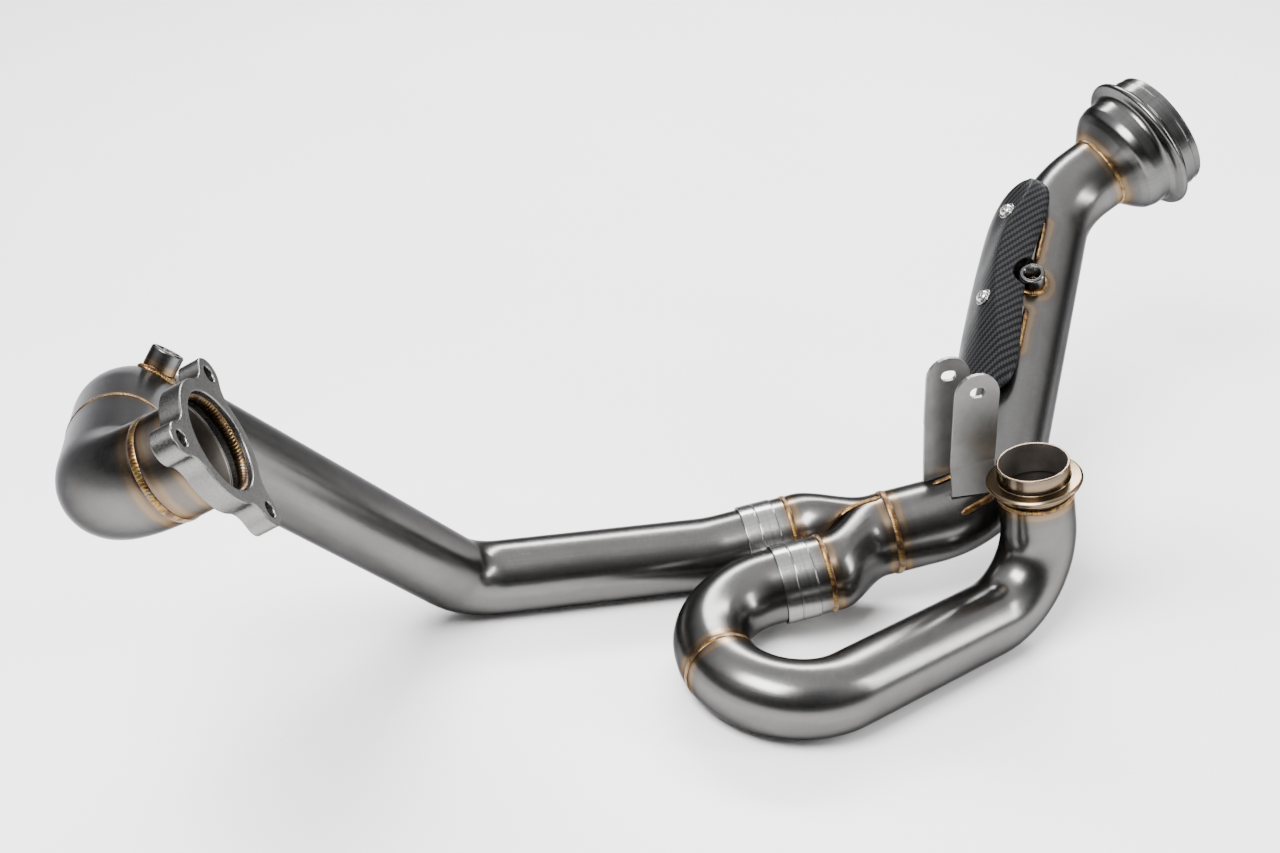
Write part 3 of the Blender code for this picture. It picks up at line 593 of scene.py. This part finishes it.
def hoop_bead(node, centre, axis, radius, half=2.1, height=0.6, inward=False):
    """A weld bead round a tube, or round the inside of a bore."""
    axis = unit(np.asarray(axis, float))
    x = unit(np.cross(axis, (0.3, 0.9, 0.2)))
    y = np.cross(axis, x)
    angle = circle(720)[:, None]
    spoke = x * np.cos(angle) + y * np.sin(angle)
    base = centre + spoke * radius
    normal = -spoke if inward else spoke
    across = np.broadcast_to(axis, base.shape)
    fine = bead(node + "_fine", base, normal, across, half, height, soot=0.8 * inward)
    return adopt(fine, WELD, node)


def soften(profile, radius):
    """Round every corner of a closed (radius, height) outline with a small arc."""
    points = np.array(profile, float)
    out = []
    for before, here, after in zip(np.roll(points, 1, 0), points, np.roll(points, -1, 0)):
        a, b = before - here, after - here
        reach = min(radius, 0.42 * np.linalg.norm(a), 0.42 * np.linalg.norm(b))
        p, q = here + unit(a) * reach, here + unit(b) * reach
        for t in (0.0, 0.33, 0.67, 1.0):
            out.append((1 - t) ** 2 * p + 2 * t * (1 - t) * here + t * t * q)
    return np.array(out)


def lathe(name, profile, origin, axis, towards=(0, 0, 1), steps=120, edge=0.35,
          sources=(), inside_r=None, spread=None):
    """A turned piece from its closed outline, with soft edges."""
    section = soften(profile, edge)
    if spread:
        section = refine(section, spread)
    axis = unit(np.asarray(axis, float))
    x = np.array(towards, float)
    x = unit(x - axis * (x @ axis))
    y = np.cross(axis, x)
    angle = circle(steps)
    spoke = x * np.cos(angle)[:, None] + y * np.sin(angle)[:, None]
    r = np.repeat(section[:, 0][:, None], steps, 1)
    points = origin + spoke[None] * r[..., None] + axis * section[:, 1][:, None, None]
    s = np.r_[0.0, np.cumsum(np.linalg.norm(np.diff(section, axis=0), axis=1))]
    values = [("weld_distance", nearest_heat(points, sources))]
    inside = (r < inside_r) * 1.0 if inside_r else np.zeros(r.shape)
    values.append(("inside", inside))
    obj = surface(name, points, True, True, ring_uv(s, steps, max(section[:, 0])), values)
    obj.modifiers.new("face_normals", "WEIGHTED_NORMAL").keep_sharp = True
    return obj


def refine(section, longest):
    """The same closed outline with no side longer than this."""
    out = []
    for a, b in zip(section, np.roll(section, -1, 0)):
        count = max(1, int(np.linalg.norm(b - a) / longest))
        for step in range(count):
            out.append(a + (b - a) * step / count)
    return np.array(out)


# ---- routes and where the sensor bosses stand --------------------------------------

rear = Path(REAR_ROUTE)
front = Path(FRONT_ROUTE)
tail = Path(TAIL_ROUTE)


def bung_place(path, distance, radius, towards):
    """Foot, outward way and tube direction of a boss on a tube."""
    centre, direction = path.at(distance)
    outward = unit(np.array(towards) - direction * (direction @ np.array(towards)))
    return centre + outward * radius, outward, direction


REAR_BUNG = bung_place(rear, REAR_BUNG_AT, HEADER_R, (0.31, -0.15, 0.94))
TAIL_BUNG = bung_place(tail, TAIL_BUNG_AT, MID_R, (-0.291, -0.328, 0.90))


def hoop_at(path, distance, half=2.5):
    """Heat from a weld round a tube at a distance along its path."""
    centre, direction = path.at(distance)
    return hoop(centre, direction, half)


# ---- rear header -----------------------------------------------------------------

rear_heat = [hoop_at(rear, REAR_WELD_1), hoop_at(rear, REAR_WELD_2), hoop_at(rear, 12.0, 1.0),
             spot(REAR_BUNG[0], 12.0)]
adopt(tube("rear_port_stub_fine", rear, 12.2, REAR_WELD_1, HEADER_R, rear_heat), TUBE,
      "rear_port_stub")
adopt(tube("rear_elbow_fine", rear, REAR_WELD_1 + 0.1, REAR_WELD_2, HEADER_R, rear_heat), TUBE,
      "rear_elbow")


def drilled(obj, foot, outward, radius=6.0, length=24.0):
    """Bore a round hole through the tube wall under a sensor boss."""
    mesh = bpy.data.meshes.new("drill")
    bm = bmesh.new()
    bmesh.ops.create_cone(bm, cap_ends=True, segments=48, radius1=radius * 0.001,
                          radius2=radius * 0.001, depth=length * 0.001)
    bm.to_mesh(mesh)
    bm.free()
    drill = bpy.data.objects.new("drill", mesh)
    bpy.context.scene.collection.objects.link(drill)
    place = Vector(outward).to_track_quat("Z", "X").to_matrix().to_4x4()
    place.translation = Vector(world(foot))
    drill.matrix_world = place
    return cut(obj, drill)


def cut(obj, cutter):
    """Take the cutter out of the piece, and remove the cutter."""
    modifier = obj.modifiers.new("cut", "BOOLEAN")
    modifier.object = cutter
    modifier.operation = "DIFFERENCE"
    modifier.solver = "EXACT"
    graph = bpy.context.evaluated_depsgraph_get()
    mesh = bpy.data.meshes.new_from_object(obj.evaluated_get(graph))
    obj.modifiers.clear()
    obj.data = mesh
    bpy.data.objects.remove(cutter, do_unlink=True)
    return obj


adopt(drilled(tube("rear_long_pipe_fine", rear, REAR_WELD_2 + 0.1, rear.total, HEADER_R,
                   rear_heat), *REAR_BUNG[:2]), TUBE, "rear_long_pipe")
for node, distance in (("rear_stub_weld", REAR_WELD_1), ("rear_elbow_weld", REAR_WELD_2)):
    centre, direction = rear.at(distance)
    hoop_bead(node, centre, direction, HEADER_R - 0.1)
face, direction = rear.at(0.0)
hoop_bead("rear_flange_weld", face + direction * 5.6, direction, 25.9, 3.1, 2.0, inward=True)


def bung(node, place, tube_radius):
    """A threaded sensor boss and the saddle-shaped bead at its foot."""
    foot, outward, direction = place
    bore = []
    for turn in range(7):
        z = BUNG_HEIGHT - 1.4 - turn * 1.5
        bore += [(6.0, z), (6.0, z - 0.2), (6.55, z - 0.75), (6.55, z - 0.85)]
    profile = [(9.8, 0.6), (9.8, BUNG_HEIGHT - 0.9), (9.0, BUNG_HEIGHT),
               (6.9, BUNG_HEIGHT)] + bore + [(6.0, 0.6)]
    seat = past_plane(foot, outward, 3.2, 1.6)
    obj = lathe(node + "_fine", profile, foot, outward, direction, 96, 0.35, [seat],
                spread=1.6)
    adopt(obj, TURNED, node)
    axis_point = foot - outward * tube_radius
    angle = circle(480)
    side = np.cross(outward, direction)
    ring = direction * np.cos(angle)[:, None] + side * np.sin(angle)[:, None]
    base = foot + ring * 10.9
    flat = base - axis_point
    flat -= direction * (flat @ direction)[:, None]
    base = base - flat + unit(flat) * (tube_radius + 0.3)
    normal = unit(unit(flat) + ring * 0.55)
    across = unit(np.cross(normal, np.cross(ring, outward)))
    return adopt(bead(node + "_weld_fine", base, normal, across, 2.0, 1.35, 1.7), WELD,
                 node + "_weld")


bung("rear_sensor_bung", REAR_BUNG, HEADER_R)


def outline_arc(cx, cy, radius, start, end, count):
    """Points along an arc, with its angles in degrees."""
    angle = np.radians(np.linspace(start, end, count + 1))
    return [(cx + radius * math.cos(a), cy + radius * math.sin(a)) for a in angle]


def triangle_angle(beside, other, opposite):
    """The angle between two sides of a triangle, in degrees."""
    return math.degrees(math.acos((beside ** 2 + other ** 2 - opposite ** 2)
                                  / (2 * beside * other)))


def plate(name, loops, thickness, edge, matrix):
    """A flat plate with its edges rounded over, from closed outlines."""
    curve = bpy.data.curves.new(name, "CURVE")
    curve.dimensions = "2D"
    curve.fill_mode = "BOTH"
    curve.extrude = (thickness / 2 - edge) * 0.001
    curve.bevel_depth = edge * 0.001
    curve.bevel_resolution = 3
    curve.offset = -edge * 0.001
    for loop in loops:
        spline = curve.splines.new("POLY")
        spline.points.add(len(loop) - 1)
        for point, (x, y) in zip(spline.points, loop):
            point.co = (x * 0.001, y * 0.001, 0.0, 1.0)
        spline.use_cyclic_u = True
    carrier = bpy.data.objects.new(name, curve)
    bpy.context.scene.collection.objects.link(carrier)
    graph = bpy.context.evaluated_depsgraph_get()
    mesh = bpy.data.meshes.new_from_object(carrier.evaluated_get(graph))
    bpy.data.objects.remove(carrier, do_unlink=True)
    bm = bmesh.new()
    bm.from_mesh(mesh)
    bmesh.ops.remove_doubles(bm, verts=bm.verts, dist=1e-6)
    bmesh.ops.recalc_face_normals(bm, faces=bm.faces)
    bm.to_mesh(mesh)
    bm.free()
    mesh.transform(matrix)
    mesh.polygons.foreach_set("use_smooth", [True] * len(mesh.polygons))
    obj = bpy.data.objects.new(name, mesh)
    bpy.context.scene.collection.objects.link(obj)
    obj.modifiers.new("face_normals", "WEIGHTED_NORMAL").keep_sharp = True
    return obj


def frame_matrix(origin, axis, towards=(0.0, 0.0, 1.0)):
    """Places flat work at an origin, square to an axis."""
    z = unit(np.asarray(axis, float))
    x = unit(np.array(towards) - z * (z @ np.array(towards)))
    y = np.cross(z, x)
    matrix = Matrix((Vector(x), Vector(y), Vector(z))).transposed().to_4x4()
    matrix.translation = Vector(world(origin))
    return matrix


def port_flange():
    """The three-eared port flange, its ears joined to the hub by fillets."""
    hub_r, bolt_r, ear_r, fillet, clock = 33.0, 41.8, 9.0, 14.0, 54.0
    hub, ear = hub_r + fillet, ear_r + fillet
    swing = triangle_angle(bolt_r, hub, ear)
    reach = 180.0 - triangle_angle(bolt_r, ear, hub)
    outline, loops = [], []
    for number in range(3):
        heading = clock + 120.0 * number
        cx, cy = (bolt_r * f(math.radians(heading)) for f in (math.cos, math.sin))
        before, after = math.radians(heading - swing), math.radians(heading + swing)
        outline += outline_arc(hub * math.cos(before), hub * math.sin(before), fillet,
                               heading - swing + 180, heading - reach + 180, 14)
        outline += outline_arc(cx, cy, ear_r, heading - reach, heading + reach, 32)[1:-1]
        outline += outline_arc(hub * math.cos(after), hub * math.sin(after), fillet,
                               heading + reach + 180, heading + swing + 180, 14)
        outline += outline_arc(0, 0, hub_r, heading + swing, heading + 120 - swing, 14)[1:-1]
        loops.append(outline_arc(cx, cy, 4.2, 0, 352, 44))
    loops = [outline, outline_arc(0, 0, 26.0, 0, 357.5, 143)] + loops
    matrix = frame_matrix(face + direction * 6.0, -direction)
    adopt(plate("rear_port_flange_fine", loops, 12.0, 0.9, matrix), PLATE, "rear_port_flange")


port_flange()

# ---- front header ----------------------------------------------------------------

front_heat = [hoop_at(front, FRONT_WELD), hoop_at(front, 26.0, 2.0)]
adopt(tube("front_down_pipe_fine", front, 24.1, FRONT_WELD, HEADER_R, front_heat), TUBE,
      "front_down_pipe")
adopt(tube("front_u_bend_fine", front, FRONT_WELD + 0.1, front.total, HEADER_R, front_heat),
      TUBE, "front_u_bend")
centre, direction = front.at(FRONT_WELD)
hoop_bead("front_u_bend_weld", centre, direction, HEADER_R - 0.1)
rim, direction = front.at(0.0)
collar = [(25.6, 0.0), (26.0, -0.5), (26.0, -12.4), (32.8, -12.9), (34.4, -14.3),
          (33.6, -16.6), (29.4, -18.0), (29.4, -20.2), (27.0, -24.0), (24.2, -24.0),
          (24.2, 0.0)]


def collar_heat(points):
    """Bronze bands along the collar, which runs hot all over."""
    return 2.6 + 1.2 * np.sin((points - rim) @ direction * 0.8)


adopt(lathe("front_port_collar_fine", collar, rim, -direction, steps=144, edge=0.5,
            sources=[collar_heat], inside_r=24.6, spread=1.0), TURNED, "front_port_collar")
hoop_bead("front_collar_weld", rim + direction * 26.0, direction, HEADER_R - 0.1, 2.0, 1.15)

# ---- collector -------------------------------------------------------------------

SLEEVE = [(27.4, 0.0), (28.6, 0.0), (28.9, 0.4), (28.9, 10.4), (28.4, 10.7), (28.4, 11.5),
          (28.9, 11.8), (28.9, 24.4), (28.2, 25.0), (28.2, 35.0),
          (25.5, 35.0), (25.5, 28.0), (27.4, 28.0)]
across = REAR_MOUTH - FRONT_MOUTH
across = unit(across - SLIP_DIR * (across @ SLIP_DIR))
valley_up = unit(np.cross(across, SLIP_DIR))


def leg_section(mouth, behind):
    """Middle and radius of a merge leg, by distance behind the collector."""
    start = (COLLECTOR - mouth) @ SLIP_DIR - SLIP_LENGTH - 0.3
    share = np.clip((start - behind) / (start - 0.3), 0.0, 1.0)
    bend = np.clip((share - 0.1) / 0.78, 0.0, 1.0)
    offset = mouth - COLLECTOR
    offset = offset - SLIP_DIR * (offset @ SLIP_DIR)
    ease = (1.0 - bend * bend * (3.0 - 2.0 * bend))[:, None]
    centre = COLLECTOR - SLIP_DIR * behind[:, None] + offset * ease
    return centre, HEADER_R + 1.0 + (MID_R - HEADER_R - 1.0) * share


def seam_line(side):
    """The valley where the two legs meet, above (1) or below (-1)."""
    behind = np.linspace(36.0, 3.0, 260)
    heights = []
    for mouth in (REAR_MOUTH, FRONT_MOUTH):
        middle, radius = leg_section(mouth, behind)
        off = np.abs((middle - COLLECTOR) @ across)
        heights.append(np.sqrt(np.maximum(radius ** 2 - off ** 2, 1.0)))
    height = np.maximum(*heights)
    base = COLLECTOR - SLIP_DIR * behind[:, None] + valley_up * (side * height)[:, None]
    tangent = unit(np.gradient(base, axis=0))
    normal = unit(np.cross(tangent, across)) * side
    normal *= np.sign(np.sum(normal * valley_up * side, -1, keepdims=True))
    return base, normal


SEAM_UP = seam_line(1)
SEAM_DOWN = seam_line(-1)


def seam_heat(points):
    """Distance from the gold seam between the legs, measured in their middle plane."""
    offset = points - COLLECTOR
    return np.abs(offset @ across) + 1.5


def merge_leg(side_name, mouth, side):
    """One leg of the merge, flattened where it meets the other."""
    start = (COLLECTOR - mouth) @ SLIP_DIR - SLIP_LENGTH - 0.1
    behind = np.linspace(start, 0.1, 34)
    centre, radius = leg_section(mouth, behind)
    angle = circle(96)
    spoke = across * np.cos(angle)[:, None] + valley_up * np.sin(angle)[:, None]
    skins = []
    for r in (radius, (radius - WALL)[::-1]):
        ring_centre = centre if len(skins) == 0 else centre[::-1]
        skins.append(ring_centre[:, None] + spoke[None] * r[:, None, None])
    points = np.concatenate(skins)
    depth = (points - COLLECTOR) @ across * side
    limit = np.concatenate((np.full(len(behind), 0.02), np.full(len(behind), WALL)))
    points += across * side * np.maximum(limit[:, None] - depth, 0.0)[..., None]
    inside = np.zeros(points.shape[:2])
    inside[len(behind):] = 1.0
    heat = nearest_heat(points, [hoop(mouth + SLIP_DIR * SLEEVE_WELD_AT, SLIP_DIR, 2.0),
                                 hoop(COLLECTOR, SLIP_DIR, 2.5), seam_heat])
    s = np.r_[behind[0] - behind, behind[0] - behind[::-1]]
    adopt(surface(side_name + "_merge_leg_fine", points, True, True,
                  ring_uv(s, 96, 29.0), (("weld_distance", heat), ("inside", inside))), TUBE,
          side_name + "_merge_leg")


for side_name, mouth, side in (("rear", REAR_MOUTH, 1), ("front", FRONT_MOUTH, -1)):
    seat = past_plane(mouth, -SLIP_DIR, -SLIP_LENGTH)
    adopt(lathe(side_name + "_slip_sleeve_fine", SLEEVE, mouth, SLIP_DIR, steps=144, edge=0.25,
                sources=[seat], spread=1.2), SLEEVES, side_name + "_slip_sleeve")
    hoop_bead(side_name + "_sleeve_weld", mouth + SLIP_DIR * SLEEVE_WELD_AT, SLIP_DIR,
              28.1, 2.0, 0.8)
    merge_leg(side_name, mouth, side)
hoop_bead("collector_weld", COLLECTOR, SLIP_DIR, MID_R - 0.1, 2.5, 0.9)
for node, (base, normal) in (("merge_seam_weld_upper", SEAM_UP),
                             ("merge_seam_weld_lower", SEAM_DOWN)):
    side_way = np.broadcast_to(across, base.shape)
    adopt(bead(node + "_fine", base, normal, side_way, 2.4, 1.5, closed=False), WELD, node)

# ---- tail pipe and outlet --------------------------------------------------------

end_point, out = tail.point(np.array([tail.total]))[0], unit(
    np.array(TAIL_ROUTE[-1][0]) - np.array(TAIL_ROUTE[-2][0]))


def tail_section(distance, angle, radius):
    """A point round the straight of the tail pipe under the shield."""
    angle = np.radians(angle)[..., None]
    outward = FACING * np.cos(angle) + SIDE * np.sin(angle)
    return TAIL_START + ALONG * np.asarray(distance)[..., None] + outward * np.asarray(
        radius)[..., None]


TAIL_START = np.array(TAIL_ROUTE[1][0])
ALONG = unit(np.array(TAIL_ROUTE[2][0]) - TAIL_START)
FACING = unit(SHIELD_FACING - ALONG * (SHIELD_FACING @ ALONG))
SIDE = np.cross(ALONG, FACING)


def tab_ends(where, radius):
    """Both ends of the weld of the tab below a shield screw."""
    return [tail_section(np.array(where - TAB_BACK + side * TAB_HALF), np.array(TAB_TURN),
                         np.array(radius)) for side in (-1, 1)]


def strip_heat(where):
    """Heat from a tab's weld: distance from its line."""
    a, b = tab_ends(where, 31.0)

    def measure(points):
        t = np.clip(((points - a) @ (b - a)) / ((b - a) @ (b - a)), 0.0, 1.0)
        return np.linalg.norm(points - (a + t[..., None] * (b - a)), axis=-1) - 1.5
    return measure


tail_heat = [hoop(COLLECTOR, SLIP_DIR, 2.8), hoop(end_point, out, 2.0),
             spot(TAIL_BUNG[0], 12.5),
             *(strip_heat(where) for _, where, _ in SHIELD_SCREWS)]
adopt(drilled(tube("tail_pipe_fine", tail, 0.1, tail.total - 0.1, MID_R, tail_heat, 96),
              *TAIL_BUNG[:2]), TUBE, "tail_pipe")
bung("tail_sensor_bung", TAIL_BUNG, MID_R)
CUP = [(30.75, 0.1), (34.15, 3.0), (41.5, 10.0), (46.2, 15.5), (48.4, 22.0), (48.6, 33.0),
       (50.4, 36.6), (57.2, 38.8), (58.5, 41.2), (57.5, 43.8), (49.6, 43.8), (46.4, 43.8),
       (46.9, 33.0), (46.7, 22.4), (44.6, 16.6), (40.4, 11.6), (29.25, 2.6), (29.25, 0.1)]
adopt(lathe("outlet_cup_fine", CUP, end_point, out, steps=192, edge=1.6,
            sources=[past_plane(end_point, out)], spread=1.2), TURNED, "outlet_cup")
SPIGOT = [(46.6, 43.9), (50.0, 43.9), (50.0, 47.5), (50.8, 48.0), (50.8, 57.0), (50.0, 57.5),
          (50.0, 63.0), (49.2, 63.8), (46.6, 63.8)]
adopt(lathe("outlet_spigot_fine", SPIGOT, end_point, out, steps=192, edge=0.35, spread=1.5),
      TURNED, "outlet_spigot")
hoop_bead("outlet_cup_weld", end_point - out * 0.2, out, MID_R - 0.1, 2.2, 0.8)

# ---- heat shield -----------------------------------------------------------------

def shield_seat(distance, turn):
    """A point on the middle of the shield's thickness."""
    u = (distance - SHIELD_MIDDLE) / SHIELD_HALF
    return tail_section(np.array(distance), np.array(turn),
                        np.array(SHIELD_R - SHIELD_DIP * u * u))


def screw_seat(distance, turn):
    """Where a screw sits on the shield, and its direction out of it."""
    seat = shield_seat(distance, turn)
    axis_point = tail_section(np.array(distance), np.array(turn), np.array(0.0))
    return seat, unit(seat - axis_point)


def heat_shield():
    """Long rounded carbon cover with a soft lengthwise crease and edges turned in."""
    u, v = np.meshgrid(np.linspace(-1, 1, 170), np.linspace(-1, 1, 110), indexing="ij")
    end = np.sqrt(np.maximum(1.0 - np.abs(u) ** 3, 0.0)) * 0.96 + 0.04     # rounded ends
    angle = -60.0 + 32.0 * u * u + 47.0 * v * end
    radius = SHIELD_R - SHIELD_DIP * u * u - 4.5 * np.maximum(v, 0.0) ** 2
    ridge = v - 0.42 + 0.10 * u + 0.08 * np.sin(3.0 * u)
    radius = radius + 2.6 * np.exp(-np.abs(ridge / 0.20) ** 1.5) * (1 - u ** 4)
    radius = radius - 1.1 * np.exp(-((v + 0.18) / 0.30) ** 2) * (1 - u ** 2)
    radius = radius - 1.6 * np.clip((np.abs(v) - 0.86) / 0.14, 0, 1) ** 2
    distance = SHIELD_MIDDLE + SHIELD_HALF * u
    skins = [tail_section(distance, angle, radius + side * 0.7) for side in (1, -1)]
    outer = np.concatenate((skins[0], skins[1][:, ::-1]), 1)
    across_ = np.radians(angle) * SHIELD_R * 0.001
    uv_u = np.concatenate((across_, across_[:, ::-1], across_[:, :1]), 1)
    uv_v = np.broadcast_to(distance[:, :1] * 0.001, uv_u.shape)
    uv = np.stack((uv_u, uv_v), -1)
    obj = surface("heat_shield_fine", outer, False, True, uv, caps=True)
    foot, outward, _ = TAIL_BUNG
    drilled(obj, foot + outward * 20.0, outward, 14.5, 60.0)
    for _, where, turn in SHIELD_SCREWS:
        drilled(obj, *screw_seat(where, turn), 3.1, 20.0)
    return adopt(obj, CARBON, "heat_shield")


heat_shield()

# Button-head screw with its socket and shank, and its washer, as turned outlines.
HEAD = [(0.9, 3.4), (2.05, 3.4), (2.05, 5.45), (3.2, 5.35), (4.2, 4.85), (5.0, 3.9),
        (5.2, 2.6), (2.5, 2.6), (2.5, -14.0), (0.05, -14.0), (0.05, 3.3)]
WASHER = [(2.9, 1.1), (7.0, 1.1), (7.0, 2.3), (2.9, 2.3)]


def shield_fastening(name, where, turn):
    """A screw and a washer on the shield, and the weld of the tab that holds them."""
    seat, outward = screw_seat(where, turn)
    adopt(lathe(name + "_screw_fine", HEAD, seat, outward, ALONG, 96, 0.25), SCREW,
          name + "_screw")
    adopt(lathe(name + "_washer_fine", WASHER, seat, outward, ALONG, 96, 0.3), SCREW,
          name + "_washer")
    start, end = tab_ends(where, MID_R + 0.4)
    base = start + (end - start) * np.linspace(0, 1, 220)[:, None]
    foot_axis = tail_section(np.array(where - TAB_BACK), np.array(TAB_TURN), np.array(0.0))
    normal = unit(start - foot_axis)
    normal = unit(normal - ALONG * (normal @ ALONG))
    side_way = np.cross(normal, ALONG)
    adopt(bead(name + "_tab_weld_fine", base, np.broadcast_to(normal, base.shape),
               np.broadcast_to(side_way, base.shape), 2.2, 1.5, 1.7, closed=False), WELD,
          name + "_tab_weld")


for name, where, turn in SHIELD_SCREWS:
    shield_fastening(name, where, turn)


def strip_weld(node):
    """A stacked-coin bead along the middle of a straight CAD weld strip on the tail pipe."""
    data = frame["nodes"][node].data
    points = np.array([vert.co[:] for vert in data.vertices]) * 1000.0 - CENTRING
    middle = points.mean(0)
    way = np.linalg.svd(points - middle)[2][0]
    reach = np.abs((points - middle) @ way).max()
    line = middle + way * np.linspace(-reach, reach, 260)[:, None]
    stations = np.arange(0.0, tail.total, 0.5)
    centres = tail.point(stations)
    nearest = np.array([np.argmin(np.linalg.norm(centres - p, axis=1)) for p in line])
    out_way = unit(line - centres[nearest])
    base = centres[nearest] + out_way * (MID_R + 0.5)
    across_way = unit(np.cross(out_way, way))
    return adopt(bead(node + "_fine", base, out_way, across_way, 2.6, 1.5, 1.8,
                      closed=False), WELD, node)


for node in ("front_hanger_weld", "rear_hanger_weld"):
    strip_weld(node)

# ---- CAD nodes kept as they are ----------------------------------------------------

KEPT = {"front_hanger": SHEET, "rear_hanger": SHEET, "shield_upper_tab": SHEET,
        "shield_lower_tab": SHEET, "shield_upper_nut": SCREW, "shield_lower_nut": SCREW}
for node, material in KEPT.items():
    obj = frame["nodes"][node]
    for slot in obj.material_slots:
        slot.material = material

# ---- stage and light ---------------------------------------------------------------

def flat_square(name, size, z, material):
    """A level square that belongs to the stage."""
    mesh = bpy.data.meshes.new(name)
    bm = bmesh.new()
    bmesh.ops.create_grid(bm, x_segments=12, y_segments=12, size=size)
    bmesh.ops.translate(bm, verts=bm.verts, vec=(0.0, 0.0, z))
    bm.to_mesh(mesh)
    bm.free()
    mesh.materials.append(material)
    obj = bpy.data.objects.new(name, mesh)
    bpy.context.scene.collection.objects.link(obj)
    return obj


flat_square("floor", 8.0, 0.0, floor_paint())


def area_light(name, place, aim, size_x, size_y, power):
    """A rectangular soft light, aimed at a point."""
    data = bpy.data.lights.new(name, "AREA")
    data.shape = "RECTANGLE"
    data.size = size_x
    data.size_y = size_y
    data.energy = power
    light = bpy.data.objects.new(name, data)
    bpy.context.scene.collection.objects.link(light)
    light.location = place
    light.rotation_euler = (Vector(aim) - Vector(place)).to_track_quat("-Z", "Y").to_euler()


area_light("key_light", (-0.9, -0.7, 1.9), (0.0, 0.0, 0.1), 1.2, 0.8, 125.0)
area_light("back_light", (0.6, 1.6, 1.5), (0.0, 0.0, 0.1), 1.8, 0.35, 85.0)
area_light("side_light", (1.9, -0.7, 1.1), (0.0, 0.0, 0.1), 0.25, 1.3, 34.0)


def studio_world():
    """Pale horizon, dark band above it, bright top, and a dark side behind the camera."""
    studio = bpy.data.worlds.new("studio")
    studio.use_nodes = True
    tree = studio.node_tree
    background = tree.nodes["Background"]
    place = tree.nodes.new("ShaderNodeTexCoord")
    split = tree.nodes.new("ShaderNodeSeparateXYZ")
    ramp = tree.nodes.new("ShaderNodeValToRGB")
    stops = ((0.0, 0.8), (0.05, 0.7), (0.12, 0.07), (0.30, 0.07), (0.5, 0.8), (1.0, 1.9))
    while len(ramp.color_ramp.elements) < len(stops):
        ramp.color_ramp.elements.new(1.0)
    for element, (height, light) in zip(ramp.color_ramp.elements, stops):
        element.position = height
        element.color = (light, light, light * 1.02, 1.0)
    tree.links.new(place.outputs["Generated"], split.inputs[0])
    tree.links.new(split.outputs[2], ramp.inputs[0])
    side = tree.nodes.new("ShaderNodeVectorMath")
    side.operation = "DOT_PRODUCT"
    tree.links.new(place.outputs["Generated"], side.inputs[0])
    side.inputs[1].default_value = BACK
    dark = tree.nodes.new("ShaderNodeMapRange")
    tree.links.new(side.outputs["Value"], dark.inputs[0])
    for index, number in enumerate((0.62, 0.93, 1.0, 0.16)):
        dark.inputs[1 + index].default_value = number
    scale = tree.nodes.new("ShaderNodeVectorMath")
    scale.operation = "SCALE"
    tree.links.new(ramp.outputs[0], scale.inputs[0])
    tree.links.new(dark.outputs[0], scale.inputs["Scale"])
    tree.links.new(scale.outputs[0], background.inputs[0])
    background.inputs[1].default_value = 1.0
    bpy.context.scene.world = studio


studio_world()
